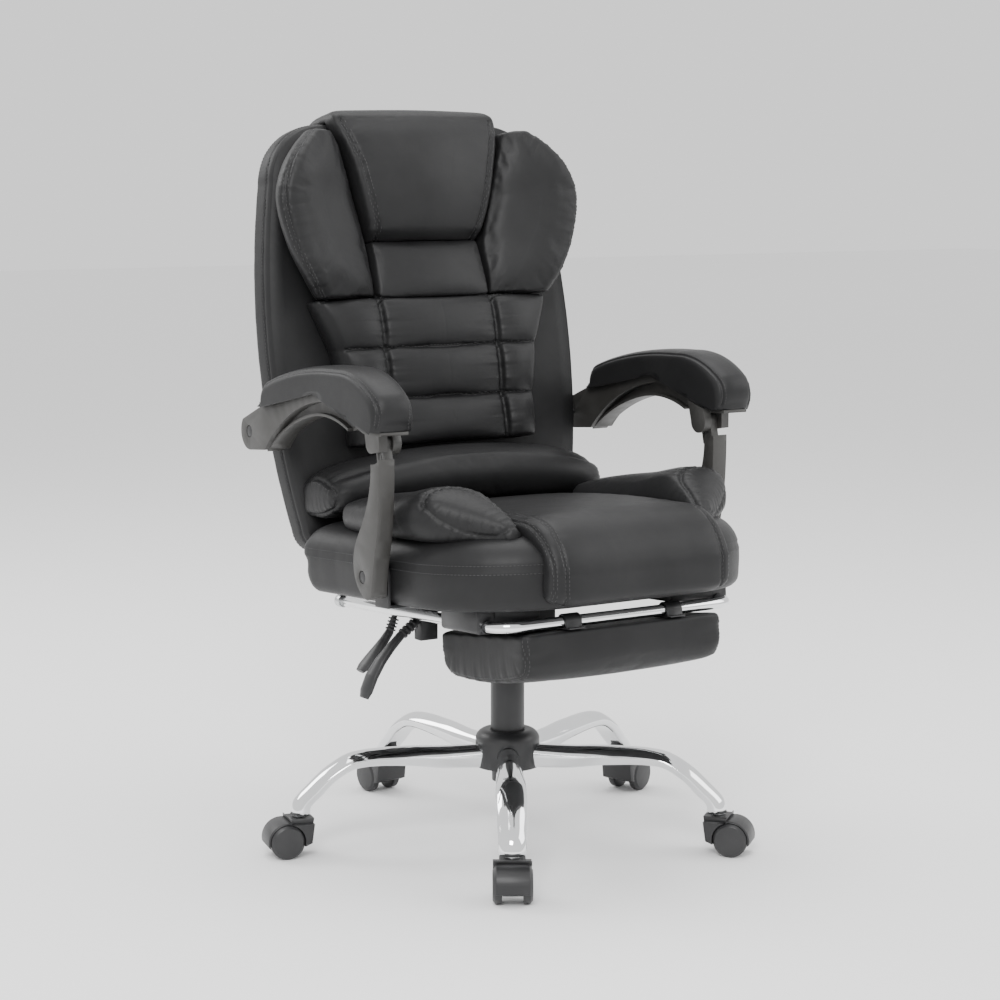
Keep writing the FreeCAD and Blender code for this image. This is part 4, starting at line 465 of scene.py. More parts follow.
def noise_node(tree, place, scale, detail=3.0, rough=0.55):
    node = tree.nodes.new("ShaderNodeTexNoise")
    node.inputs["Scale"].default_value = scale
    node.inputs["Detail"].default_value = detail
    node.inputs["Roughness"].default_value = rough
    tree.links.new(place, node.inputs["Vector"])
    return node.outputs["Fac"]


def ranged(tree, value, low, high):
    node = tree.nodes.new("ShaderNodeMapRange")
    node.inputs["To Min"].default_value = low
    node.inputs["To Max"].default_value = high
    tree.links.new(value, node.inputs["Value"])
    return node.outputs["Result"]


def mixed_color(tree, value, first, second, low=0.35, high=0.65):
    ramp = tree.nodes.new("ShaderNodeValToRGB")
    ramp.color_ramp.elements[0].position = low
    ramp.color_ramp.elements[0].color = (*first, 1)
    ramp.color_ramp.elements[1].position = high
    ramp.color_ramp.elements[1].color = (*second, 1)
    tree.links.new(value, ramp.inputs["Fac"])
    return ramp.outputs["Color"]


def bumped(tree, shader, heights):
    """Chains bump nodes from (height, strength, distance in metres) and feeds the shader."""
    normal = None
    for height, strength, distance in heights:
        node = tree.nodes.new("ShaderNodeBump")
        node.inputs["Strength"].default_value = strength
        node.inputs["Distance"].default_value = distance
        tree.links.new(height, node.inputs["Height"])
        if normal is not None:
            tree.links.new(normal, node.inputs["Normal"])
        normal = node.outputs["Normal"]
    tree.links.new(normal, shader.inputs["Normal"])


def leather(name, dark, light, rough=(0.40, 0.52)):
    material, tree, shader, place = new_material(name)
    cells = tree.nodes.new("ShaderNodeTexVoronoi")
    cells.feature = "DISTANCE_TO_EDGE"
    cells.inputs["Scale"].default_value = 620.0
    warp = tree.nodes.new("ShaderNodeVectorMath")
    warp.operation = "MULTIPLY_ADD"
    wander = tree.nodes.new("ShaderNodeTexNoise")
    wander.inputs["Scale"].default_value = 300.0
    tree.links.new(place, wander.inputs["Vector"])
    tree.links.new(wander.outputs["Color"], warp.inputs[0])
    warp.inputs[1].default_value = (0.0012, 0.0012, 0.0012)
    tree.links.new(place, warp.inputs[2])
    tree.links.new(warp.outputs["Vector"], cells.inputs["Vector"])
    grain = tree.nodes.new("ShaderNodeMapRange")
    grain.inputs["From Max"].default_value = 0.22
    tree.links.new(cells.outputs["Distance"], grain.inputs["Value"])
    broad = noise_node(tree, place, 9.0, 4.0)
    fine = noise_node(tree, place, 2600.0, 2.0)
    creases = noise_node(tree, place, 60.0, 6.0, 0.62)
    tree.links.new(mixed_color(tree, broad, dark, light), shader.inputs["Base Color"])
    tree.links.new(ranged(tree, creases, *rough), shader.inputs["Roughness"])
    shader.inputs["Specular IOR Level"].default_value = 0.25
    bumped(tree, shader, (
        (creases, 0.22, 0.0009),
        (grain.outputs["Result"], 0.30, 0.00016),
        (fine, 0.12, 0.00008),
    ))
    return material


def plastic(name, dark, light, rough=(0.36, 0.48), grain=0.16):
    material, tree, shader, place = new_material(name)
    broad = noise_node(tree, place, 14.0, 4.0)
    spark = noise_node(tree, place, 1500.0, 2.0)
    flow = noise_node(tree, place, 38.0, 3.0)
    tree.links.new(mixed_color(tree, broad, dark, light), shader.inputs["Base Color"])
    tree.links.new(ranged(tree, flow, *rough), shader.inputs["Roughness"])
    bumped(tree, shader, ((flow, 0.06, 0.0008), (spark, grain, 0.00012)))
    return material


def metal(name, dark, light, rough, ripple=0.04, brushed=False, metallic=1.0):
    material, tree, shader, place = new_material(name)
    broad = noise_node(tree, place, 11.0, 3.0)
    smudge = noise_node(tree, place, 30.0, 5.0)
    tree.links.new(mixed_color(tree, broad, dark, light), shader.inputs["Base Color"])
    tree.links.new(ranged(tree, smudge, *rough), shader.inputs["Roughness"])
    shader.inputs["Metallic"].default_value = metallic
    heights = [(broad, ripple, 0.0012)]
    if brushed:
        heights.append((noise_node(tree, place, 900.0, 2.0), 0.12, 0.00008))
    bumped(tree, shader, heights)
    return material


def plywood(name):
    material, tree, shader, place = new_material(name)
    stretch = tree.nodes.new("ShaderNodeMapping")
    stretch.inputs["Scale"].default_value = (40.0, 400.0, 6.0)
    tree.links.new(place, stretch.inputs["Vector"])
    grain = noise_node(tree, stretch.outputs["Vector"], 1.0, 6.0, 0.6)
    broad = noise_node(tree, place, 5.0, 3.0)
    colour = mixed_color(tree, grain, (0.30, 0.20, 0.11), (0.52, 0.38, 0.23), 0.3, 0.7)
    tree.links.new(colour, shader.inputs["Base Color"])
    tree.links.new(ranged(tree, broad, 0.6, 0.8), shader.inputs["Roughness"])
    bumped(tree, shader, ((grain, 0.2, 0.0003),))
    return material


LEATHER = leather("upholstery_leather", (0.0105, 0.0105, 0.011), (0.0155, 0.0155, 0.016))
SIDE_LEATHER = leather("border_leather", (0.0095, 0.0095, 0.010), (0.014, 0.014, 0.0145), (0.44, 0.56))
THREAD = plastic("stitch_thread", (0.030, 0.030, 0.031), (0.050, 0.050, 0.051), (0.5, 0.6), 0.3)
CHROME = metal("chrome_plating", (0.80, 0.81, 0.82), (0.88, 0.885, 0.89), (0.04, 0.09), 0.02)
BLACK_PLASTIC = plastic("black_moulded_plastic", (0.012, 0.012, 0.013), (0.020, 0.020, 0.021))
GREY_PLASTIC = plastic(
    "grey_moulded_plastic", (0.030, 0.029, 0.027), (0.042, 0.041, 0.039), (0.42, 0.54), 0.2
)
WHEEL_PLASTIC = plastic("wheel_plastic", (0.016, 0.016, 0.017), (0.028, 0.028, 0.029), (0.32, 0.44))
STEEL = metal("zinc_plated_steel", (0.50, 0.51, 0.52), (0.62, 0.63, 0.63), (0.28, 0.40), 0.05, True)
BLACK_METAL = metal(
    "black_powder_coat", (0.014, 0.014, 0.015), (0.022, 0.022, 0.023), (0.38, 0.5), 0.05, True, 0.0
)
WOOD = plywood("birch_plywood")

MATERIALS = {
    "chrome_tube": CHROME,
    "black_plastic": BLACK_PLASTIC,
    "caster_plastic": WHEEL_PLASTIC,
    "grey_plastic": GREY_PLASTIC,
    "zinc_steel": STEEL,
    "black_steel": BLACK_METAL,
    "plywood": WOOD,
    "black_upholstery": LEATHER,
}


# These get the black plastic, which is darker than the material of their slot
DARK_NODES = ("footrest_guides",)


def dress_nodes():
    """Every carried-over solid gets its material, soft edges and smooth shading."""
    slots = {part["node"]: part["material_slot"] for part in frame["record"]["subparts"]}
    for name, obj in NODES.items():
        material = BLACK_PLASTIC if name in DARK_NODES else MATERIALS[slots[name]]
        if obj.data.materials:
            for index in range(len(obj.data.materials)):
                obj.data.materials[index] = material
        else:
            obj.data.materials.append(material)
        obj.data.polygons.foreach_set("use_smooth", [True] * len(obj.data.polygons))
        weld = obj.modifiers.new("weld", "WELD")
        weld.merge_threshold = 0.00002
        edges = obj.modifiers.new("edges", "BEVEL")
        edges.width = 0.0008
        edges.segments = 2
        edges.limit_method = "ANGLE"
        edges.angle_limit = math.radians(38)
        edges.harden_normals = True
        edges.use_clamp_overlap = True


dress_nodes()


def finished(obj, body, *nodes, material=None, padded=None, slot="black_upholstery"):
    obj.data.materials.clear()
    obj.data.materials.append(material or LEATHER)
    obj.data.polygons.foreach_set("use_smooth", [True] * len(obj.data.polygons))
    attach(obj, body)
    if nodes:
        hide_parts(*nodes)
    return obj


# Seat box: crowned cushion with a sewn border

CUSHION_STATIONS = (
    (0.6, 9.0, 9.0 - SEAT_REAR_SLANT),
    (7.0, 3.0, 9.0 - SEAT_REAR_SLANT),
    (PAN_THICKNESS + 12.0, 1.0, 18.0 - SEAT_REAR_SLANT),
    (SEAM_HEIGHT - 14.0, 0.0, -13.0),
    (SEAM_HEIGHT, 0.5, 0.0),
    (SEAM_HEIGHT + 16.0, 6.0, 0.0),
    (SEAM_HEIGHT + 31.0, 19.0, 0.0),
    (SEAM_HEIGHT + 41.0, 42.0, 0.0),
    (BOX_HEIGHT, 80.0, 0.0),
)


def seat_outline(rise, inset, rear, count):
    half = SEAT_HALF_WIDTH - inset
    front = SEAT_FRONT + inset
    back = rear - inset
    big = SEAT_FRONT_CORNER - inset
    small = SEAT_REAR_CORNER - inset * 0.25
    big_cut = big * (1 - math.sqrt(0.5))
    small_cut = small * (1 - math.sqrt(0.5))
    z = SEAT_HEIGHT + rise
    points = np.concatenate([
        line((0, back, z), (small - half, back, z)),
        arc((small - half, back, z), (small_cut - half, back - small_cut, z), (-half, back - small, z)),
        line((-half, back - small, z), (-half, front + big, z)),
        arc((-half, front + big, z), (big_cut - half, front + big_cut, z), (big - half, front, z), 40),
        line((big - half, front, z), (half - big, front, z)),
        arc((half - big, front, z), (half - big_cut, front + big_cut, z), (half, front + big, z), 40),
        line((half, front + big, z), (half, back - small, z)),
        arc((half, back - small, z), (half - small_cut, back - small_cut, z), (half - small, back, z)),
        line((half - small, back, z), (0, back, z)),
    ])
    return resampled(points, count)


def seat_box():
    stations = smooth_stations(CUSHION_STATIONS, 34, 2)
    count = 420
    rows = [seat_outline(rise, max(inset, 0.0), SEAT_REAR + rear, count) for rise, inset, rear in stations]
    obj = skin("seat_box_cover", tilted(rows), rings=10)
    edge = tilted(seat_outline(SEAM_HEIGHT, -0.5, SEAT_REAR, 500))
    edge = closed_line(edge)
    points = points_of(obj)
    normals = normals_of(obj)
    distance, place = near_path(points, edge)
    below = points[:, 2] < SEAT_HEIGHT + SEAM_HEIGHT + 16.0
    pleat = noise_along(place, 46.0, 5) * np.exp(-distance / 16.0) * 0.3
    broad = noise_along(place, 170.0, 8) * np.exp(-((distance - 26.0) / 22.0) ** 2) * 0.8 * below
    dip = -1.7 * np.exp(-(distance / 2.6) ** 2)
    set_points(obj, points + normals * (pleat + broad + dip)[:, None])
    finished(obj, "seat", "seat_cushion", padded=0.7)
    stitches("seat_box_stitches", obj, ((edge, 6.0), (edge, -6.0)), "seat")
    return obj


# Middle panel of the seat, which rolls over the front edge

def panel_section(x, inset):
    z0 = SEAT_HEIGHT
    inner_y = SEAT_FRONT + 8.0
    front = SEAT_FRONT - PANEL_FRONT_THICKNESS + inset
    top = z0 + PANEL_TOP - inset
    floor = z0 + SEAM_HEIGHT + 18.0
    rear = PANEL_REAR - inset
    low = z0 + PANEL_DROP + inset
    rear_top = (x, rear, top - 14.0)
    crest = (x, SEAT_FRONT + 68.0, top)
    brow = (x, front, z0 + PANEL_DROP + 44.0)
    chin = (x, front + 2.0, low + 8.0)
    hem = (x, inner_y, low + 2.0)
    return np.concatenate([
        arc(rear_top, (x, -60.0, top + 2.0), crest, 40),
        arc(crest, (x, front + 25.0, top - 22.0), brow, 30),
        line(brow, chin, 10),
        arc(chin, (x, front + 9.0, low), hem, 8),
        line(hem, (x, inner_y, floor), 10),
        line((x, inner_y, floor), (x, rear, floor), 30),
        line((x, rear, floor), rear_top, 6),
    ])


PANEL_SEAMS = ((2.0, 7.0), (19.0, 2.2))


def panel_edge(side, inward, inset):
    """Line along the top of the panel near one side, from the rear over the front to the hem."""
    x = side * (PANEL_HALF_WIDTH - inward)
    section = panel_section(x, inset)
    return tilted(section[:86])


def seat_panel():
    rows = crowned(panel_section, PANEL_HALF_WIDTH, 12.0, 60, 260)
    obj = skin("seat_panel_cover", tilted(rows), rings=6)
    edges = [panel_edge(side, *place) for side in (-1, 1) for place in PANEL_SEAMS]
    on_box = low_hold(SEAT_HEIGHT + 60.0)
    filled(obj, voxel=5.0, pressure=3.0, cap=5.0, pins=edges, pin_width=8.0, hold=on_box)
    subdivided(obj)
    for index, edge in enumerate(edges):
        seam(obj, edge, width=2.6, depth=2.2, swell=0.8, gather=0.4, wave=38.0, reach=20.0, seed=11 + index)
    finished(obj, "seat", "seat_front_panel", padded=0.7)
    rows = [(edge, aside) for edge in edges for aside in (-3.5, 3.5)]
    stitches("seat_panel_stitches", obj, rows, "seat")
    return obj


# Side bolsters with gathered front ends

BOLSTER_STATIONS = (
    (72.0, 168.0, 226.0, 22.0),
    (52.0, 157.0, 244.0, 32.0),
    (-20.0, 152.0, 257.0, 41.0),
    (-100.0, BOLSTER_INNER, 263.0, 48.0),
    (-150.0, BOLSTER_INNER, 264.0, 57.0),
    (-182.0, BOLSTER_INNER, 261.0, 60.0),
    (-206.0, BOLSTER_INNER, 247.0, 52.0),
    (-228.0, BOLSTER_INNER, 222.0, 39.0),
    (-250.0, BOLSTER_INNER, 193.0, 24.0),
    (-266.0, BOLSTER_INNER + 1.0, 174.0, 11.0),
    (-274.0, BOLSTER_INNER + 3.0, 166.0, 3.0),
)
GUSSET_OUTER = (256.0, -194.0, 42.0)
GUSSET_CREST = (205.0, -182.0, 60.0)
GUSSET_INNER = (BOLSTER_INNER + 1.0, -270.0, 4.0)
GUSSET_BROW = (160.0, -234.0, 38.0)
GUSSET_FOOT = (208.0, -232.0, 3.0)


def bolster_section(y, inner, outer, height):
    foot = SEAT_HEIGHT + BOX_HEIGHT - 12.0
    top = SEAT_HEIGHT + BOX_HEIGHT + height
    side = top - height * 0.6
    share = min(1.0, (outer - inner) / 110.0)
    shoulder = outer - 20.0 * share
    heel = outer - 26.0 * share
    bulge = outer - 5.0 * share
    toe = inner + 4.0 * share
    brow = inner + 12.0 * share
    return np.concatenate([
        line((toe, y, foot), (heel, y, foot)),
        arc((heel, y, foot), (bulge, y, foot + 10.0 * share), (outer, y, side)),
        arc((outer, y, side), (bulge, y, top - height * 0.24), (shoulder, y, top - height * 0.08)),
        arc(
            (shoulder, y, top - height * 0.08), ((inner + outer) / 2, y, top),
            (brow, y, top - height * 0.14),
        ),
        arc((brow, y, top - height * 0.14), (inner, y, side), (toe, y, foot)),
    ])


def gusset_seams(flip):
    """Upper and lower seam of the lens-shaped front patch, which meet in its two tips."""
    base = np.array([0, 0, SEAT_HEIGHT + BOX_HEIGHT])
    outer, crest, brow, foot, inner = (
        (np.array(p) + base) * flip
        for p in (GUSSET_OUTER, GUSSET_CREST, GUSSET_BROW, GUSSET_FOOT, GUSSET_INNER)
    )
    upper = np.concatenate([arc(outer, crest, brow, 30), line(brow, inner, 16), [inner]])
    lower = np.concatenate([arc(outer, foot, inner, 40), [inner]])
    return tilted(upper), tilted(lower)


def seat_bolsters():
    stations = smooth_stations(BOLSTER_STATIONS, 76, 1)
    rows = [resampled(bolster_section(*station), 120) for station in stations]
    pieces = []
    for sign, side in ((1, "left"), (-1, "right")):
        shape = np.array(rows) * np.array([sign, 1, 1])
        obj = skin("seat_bolster_" + side, tilted(shape), rings=7)
        upper, lower = gusset_seams(np.array([sign, 1, 1]))
        on_seat = low_hold(SEAT_HEIGHT + BOX_HEIGHT)
        filled(obj, voxel=5.0, pressure=4.0, cap=5.0, pins=[upper, lower], pin_width=6.0, hold=on_seat)
        subdivided(obj)
        seam(obj, upper, width=2.6, depth=2.8, swell=1.6, gather=1.5, wave=13.0, reach=12.0, seed=21)
        seam(obj, lower, width=2.6, depth=2.4, swell=0.8, gather=1.3, wave=13.0, reach=12.0, seed=22)
        finished(obj, "seat", padded=0.75)
        stitches("seat_bolster_stitches_" + side, obj, ((upper, 4.0),), "seat")
        pieces.append(obj)
    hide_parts("seat_bolsters")
    return pieces


# Back shell with a sewn border

SHELL_FOOT_HALF = 236.0
SHELL_MID_HALF = 268.0
SHELL_HEAD_HALF = 243.0
SHELL_TOP_HALF = 150.0


def shell_outline(u, inset, count):
    foot = inset
    top = BACK_HEIGHT - inset
    foot_half = SHELL_FOOT_HALF - inset
    mid_half = SHELL_MID_HALF - inset
    head_half = SHELL_HEAD_HALF - inset
    top_half = SHELL_TOP_HALF
    mid = (head_half + top_half) / 2 + 17.0
    half = np.concatenate([
        line((0, u, foot), (foot_half - 34.0, u, foot)),
        arc((foot_half - 34.0, u, foot), (foot_half - 8.0, u, foot + 9.0), (foot_half + 4.0, u, foot + 34.0)),
        arc((foot_half + 4.0, u, foot + 34.0), (mid_half, u, 300.0), (head_half, u, 552.0), 60),
        arc((head_half, u, 552.0), (mid, u, top - 25.0), (top_half, u, top), 30),
        line((top_half, u, top), (0, u, top)),
    ])
    other = mirrored(half)[::-1]
    return resampled(np.vstack([half, other]), count)


def back_shell():
    thick = SHELL_THICKNESS
    stations = ((0.0, 5.0), (10.0, 0.6), (22.0, 0.0), (thick - 22.0, 0.0), (thick - 8.0, 7.0), (thick, 24.0))
    steps = smooth_stations(stations, 22, 1)
    count = 420
    rows = [shell_outline(u, max(inset, 0.0), count) for u, inset in steps]
    obj = skin("back_shell_cover", leaned(rows), rings=12)
    front = shell_outline(14.0, -0.2, 600)
    front = leaned(closed_line(front))
    rear = shell_outline(thick - 16.0, 1.5, 600)
    rear = leaned(closed_line(rear))
    for path, seed in ((front, 31), (rear, 33)):
        seam(obj, path, width=2.4, depth=1.8, swell=0.5, gather=0.3, wave=60.0, reach=14.0, seed=seed)
    finished(obj, "back", "back_cushion", material=SIDE_LEATHER, padded=0.9)
    stitches("back_shell_stitches", obj, ((front, 5.0), (rear, -5.0)), "back")
    return obj


# Tufted middle of the back

TUFT_SEAMS = (
    (150.0, 156.0, -46.0),
    (217.0, 160.0, -40.0),
    (293.0, 173.0, -42.0),
    (368.0, 203.0, -35.5),
)
TUFT_CROWN = 14.0
SEAM_CROWN = 3.0
TUFT_SWELL = 5.0
TUFT_TOP = 457.0
TUFT_TOP_HALF = 97.0
TUFT_TOP_DEPTH = -19.0


def tuft_front(h, half, depth, crown_size):
    """Front line of a row of pillows, from the sitter's left to the right."""
    edge = half - 8.0
    valley = TUFT_HALF_WIDTH
    middle = (edge + valley) / 2
    return np.concatenate([
        arc((half, -RUN, h), (half + 3.0, depth / 2, h), (edge, depth, h), 14),
        arc((edge, depth, h), (middle, depth - crown_size * 0.7, h), (valley, depth, h), 24),
        arc((valley, depth, h), (0, depth - crown_size, h), (-valley, depth, h), 60),
        arc((-valley, depth, h), (-middle, depth - crown_size * 0.7, h), (-edge, depth, h), 24),
        arc((-edge, depth, h), (-half - 3.0, depth / 2, h), (-half, -RUN, h), 14),
        line((-half, -RUN, h), (half, -RUN, h), 40),
    ])


def top_front(h, half, depth, crown_size):
    edge = half - 4.0
    return np.concatenate([
        line((half, -RUN, h), (edge, depth, h), 8),
        arc((edge, depth, h), (0, depth - crown_size, h), (-edge, depth, h), 70),
        line((-edge, depth, h), (-half, -RUN, h), 8),
        line((-half, -RUN, h), (half, -RUN, h), 40),
    ])


def pillow_rows(section, low, high, steps, count):
    rows = []
    for place in np.linspace(0, 1, steps):
        h, half, depth = (a + (b - a) * place for a, b in zip(low, high))
        swell = (1 - abs(2 * place - 1) ** 2.4) ** 0.5
        size = SEAM_CROWN + (TUFT_CROWN - SEAM_CROWN) * swell
        rows.append(resampled(section(h, half, depth - TUFT_SWELL * swell, size), count))
    return rows


def back_tufts():
    rows = []
    for low, high in zip(TUFT_SEAMS, TUFT_SEAMS[1:]):
        rows += pillow_rows(tuft_front, low, high, 22, 300)[:-1]
    rows.append(resampled(tuft_front(*TUFT_SEAMS[-1], SEAM_CROWN), 300))
    lower = skin("back_tufted_cover", leaned(rows), rings=4)
    h, _, depth = TUFT_SEAMS[-1]
    top_low = (h, TUFT_HALF_WIDTH, depth)
    top_high = (TUFT_TOP, TUFT_TOP_HALF, TUFT_TOP_DEPTH)
    top_rows = pillow_rows(top_front, top_low, top_high, 24, 240)
    upper = skin("back_upper_cover", leaned(top_rows), rings=4)
    across = []
    for h, half, depth in TUFT_SEAMS[1:]:
        x = np.linspace(half - 6.0, 6.0 - half, 60)
        path = np.stack([x, np.full(60, depth - 1.0), np.full(60, h)], axis=1)
        across.append(leaned(path))
    upright = []
    for sign in (1, -1):
        h = np.linspace(150.0, 368.0, 60)
        depth = np.interp(h, [s[0] for s in TUFT_SEAMS], [s[2] for s in TUFT_SEAMS])
        path = np.stack([np.full(60, sign * TUFT_HALF_WIDTH), depth, h], axis=1)
        upright.append(leaned(path))
    hold = leaned_hold(-4.0)
    filled(lower, voxel=4.0, pressure=5.0, cap=5.0, pins=across + upright, pin_width=5.0, hold=hold)
    filled(upper, voxel=4.0, pressure=5.0, cap=5.0, pins=across[-1:], pin_width=5.0, hold=hold)
    for obj, paths in ((lower, across + upright), (upper, across[-1:])):
        subdivided(obj)
        for index, path in enumerate(paths):
            strong = index >= len(across) and obj is lower
            if strong:
                seam(
                    obj, path, width=4.2, depth=6.0, swell=1.8, gather=1.3,
                    wave=23.0, reach=20.0, seed=41 + index
                )
            else:
                seam(
                    obj, path, width=2.2, depth=2.8, swell=1.0, gather=0.22,
                    wave=40.0, reach=15.0, seed=41 + index
                )
    finished(lower, "back", "back_tufted_panel", padded=0.8)
    finished(upper, "back", padded=0.8)
    stitches("back_tuft_stitches", lower, [(path, 3.5) for path in across], "back")
    return lower, upper


def leaned_hold(limit):
    """Weights that hold what lies against the shell, so that the rear of a pad stays flat."""
    turn = math.radians(BACK_LEAN)

    def hold(points):
        dy = points[:, 1] - BACK_FOOT_Y
        dz = points[:, 2] - BACK_FOOT_Z
        depth = dy * math.cos(turn) - dz * math.sin(turn)
        return (depth > limit).astype(float)

    return hold


# Wings beside the headrest

WING_STATIONS = (
    (372.0, 102.5, 204.0, -32.0, -48.0),
    (400.0, 102.0, 223.0, -32.0, -60.0),
    (452.0, 101.0, 249.0, -24.0, -65.0),
    (520.0, 117.0, 262.0, -28.0, -69.0),
    (566.0, 130.0, 247.0, -34.0, -68.0),
    (600.0, 141.0, 219.0, -36.0, -58.0),
    (622.0, 152.0, 192.0, -34.0, -44.0),
)
WING_CROWN = 10.0
WING_UNDERCUT = 0.25


def wing_section(h, inner, outer, depth_in, depth_out):
    wide = outer - inner
    rim = (outer, depth_out * 0.82, h)
    brow = (outer - wide * 0.2, depth_out - 5.0, h)
    root = (outer - wide * WING_UNDERCUT, -RUN, h)
    middle = ((inner + outer) / 2, (depth_in + depth_out) / 2 - WING_CROWN, h)
    return np.concatenate([
        line((inner, -RUN, h), root, 12),
        arc(root, (outer - wide * 0.07, depth_out * 0.4, h), rim, 16),
        arc(rim, (outer - wide * 0.06, depth_out - 1.0, h), brow, 12),
        arc(brow, middle, (inner, depth_in, h), 30),
        line((inner, depth_in, h), (inner, -RUN, h), 6),
    ])


def back_wings():
    stations = smooth_stations(WING_STATIONS, 60, 1)
    base = np.array([resampled(wing_section(*station), 130) for station in stations])
    rims = []
    for h, inner, outer, _, depth_out in stations:
        wide = outer - inner
        rims.append((outer - wide * 0.03, depth_out * 0.98, h))
    pieces = []
    for sign, side in ((1, "left"), (-1, "right")):
        flip = np.array([sign, 1, 1])
        obj = skin("back_wing_" + side, leaned(base * flip), rings=6)
        rim = leaned(np.array(rims) * flip)
        filled(obj, voxel=4.5, pressure=4.0, cap=5.0, pins=[rim], pin_width=6.0, hold=leaned_hold(-4.0))
        subdivided(obj)
        seam(obj, rim, width=2.6, depth=2.4, swell=1.2, gather=0.8, wave=19.0, reach=13.0, seed=51)
        finished(obj, "back", padded=0.8)
        stitches("back_wing_stitches_" + side, obj, ((rim, 4.0), (rim, -4.0)), "back")
        pieces.append(obj)
    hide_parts("back_wings")
    return pieces


# Headrest pillow that wraps over the top of the shell

HEADREST_STATIONS = (
    (457.5, 96.0, -18.0),
    (474.0, 100.0, -42.0),
    (520.0, 112.0, -58.0),
    (570.0, 124.0, -60.0),
    (612.0, 136.0, -52.0),
    (BACK_HEIGHT + RUN, 143.0, -36.0),
)


def headrest_outline(h, half, near, far):
    """Plan view of the pillow: square rear, round front corners and a crowned front."""
    shoulder = near + 8.0
    return np.concatenate([
        line((-half, far, h), (half, far, h), 30),
        line((half, far, h), (half, shoulder, h), 10),
        arc((half, shoulder, h), (half - 2.5, near + 2.5, h), (half - 8.0, near, h), 6),
        arc((half - 8.0, near, h), (0, near - 13.0, h), (8.0 - half, near, h), 60),
        arc((8.0 - half, near, h), (2.5 - half, near + 2.5, h), (-half, shoulder, h), 6),
        line((-half, shoulder, h), (-half, far, h), 10),
    ])


def headrest():
    top = BACK_HEIGHT + RUN
    rise = HEADREST_TOP - top
    rear = SHELL_THICKNESS - 4.0
    stations = [(h, half, depth * 0.80, -RUN) for h, half, depth in HEADREST_STATIONS]
    steps = smooth_stations(stations, 46, 1)
    rows = [resampled(headrest_outline(*station), 260) for station in steps]
    front = skin("headrest_cover", leaned(rows), rings=5)
    cap_rows = []
    for turn in np.linspace(0, math.pi / 2, 14):
        share = math.sin(turn)
        tuck = 1 - math.cos(turn)
        cap_rows.append(resampled(headrest_outline(
            top + rise * share, 143.0 - 24.0 * tuck, -28.0 + 34.0 * tuck, rear - 36.0 * tuck
        ), 260))
    cap = skin("headrest_top_cover", leaned(cap_rows), rings=8)
    join_into(front, cap)
    left = leaned([(half - 12.0, depth * 0.84, h) for h, half, depth in HEADREST_STATIONS])
    right = mirrored(left)
    filled(front, voxel=4.5, pressure=4.0, cap=5.0, pins=[left, right], pin_width=6.0, hold=leaned_hold(-4.0))
    subdivided(front)
    for index, path in enumerate((left, right)):
        seam(front, path, width=2.8, depth=2.8, swell=1.0, gather=0.4, wave=30.0, reach=14.0, seed=61 + index)
    finished(front, "back", "headrest_pillow", padded=0.8)
    rows = [(path, aside) for path in (left, right) for aside in (-4.0, 4.0)]
    stitches("headrest_stitches", front, rows, "back")
    return front


def join_into(first, second):
    """Adds the mesh of the second object to the first, to be remeshed as one."""
    a = points_of(first)
    b = points_of(second)
    faces = [tuple(p.vertices) for p in first.data.polygons]
    faces += [tuple(v + len(a) for v in p.vertices) for p in second.data.polygons]
    mesh = bpy.data.meshes.new(first.name)
    mesh.from_pydata([tuple(v) for v in np.vstack([a, b]) * MM], [], faces)
    mesh.update()
    first.data = mesh
    bpy.data.objects.remove(second)


# Lumbar roll with gathered ends

def roll_section(x, inset):
    middle = ROLL_HEIGHT - ROLL_SAG * (x / ROLL_HALF_LENGTH) ** 2
    front = inset * 1.6 - ROLL_DEPTH
    top = (x, -RUN, middle + 39.0 - inset)
    front_top = (x, front + 20.0, middle + 26.0 - inset * 0.6)
    front_low = (x, front + 20.0, middle - 27.0 + inset * 0.6)
    low = (x, -RUN, middle - 31.0 + inset)
    return np.concatenate([
        arc(top, (x, front * 0.5, middle + 43.0 - inset), front_top, 24),
        arc(front_top, (x, front, middle), front_low, 24),
        arc(front_low, (x, front * 0.5, middle - 36.0 + inset), low, 24),
        line(low, top, 16),
    ])


def lumbar_roll():
    rows = crowned(roll_section, ROLL_HALF_LENGTH, 22.0, 80, 180)
    obj = skin("lumbar_roll_cover", leaned(rows), rings=6)
    ends = []
    for sign in (1, -1):
        ring = resampled(roll_section(sign * (ROLL_HALF_LENGTH - 1.0), 11.0), 200)
        keep = ring[:, 1] < -8.0
        ends.append(leaned(ring[keep]))
    filled(obj, voxel=5.0, pressure=4.0, cap=6.0, pins=ends, pin_width=6.0, hold=leaned_hold(-6.0))
    subdivided(obj)
    for index, path in enumerate(ends):
        seam(obj, path, width=2.6, depth=2.4, swell=1.2, gather=1.1, wave=14.0, reach=16.0, seed=71 + index)
    finished(obj, "back", "lumbar_roll", padded=0.8)
    stitches("lumbar_roll_stitches", obj, [(path, 4.0) for path in ends], "back")
    return obj


# Arm pads

ARM_SEAM = (
    (180.0, 645.5), (97.0, 673.5), (9.0, 685.0), (-52.0, 679.0), (-92.0, 660.0),
    (-115.0, 644.5), (-144.0, 636.5),
)
PAD_CREST = (
    (176.0, 660.0), (172.0, 674.0), (160.0, 684.0), (60.0, 708.5), (-56.0, 718.0),
    (-124.0, 709.0), (-164.0, 688.0), (-175.0, 668.0), (-171.0, 648.0),
)


def side_arcs(places, x, lift=0.0, count=20):
    points = [(x, y, z + lift) for y, z in places]
    return [arc(points[i], points[i + 1], points[i + 2], count) for i in range(0, len(points) - 2, 2)]


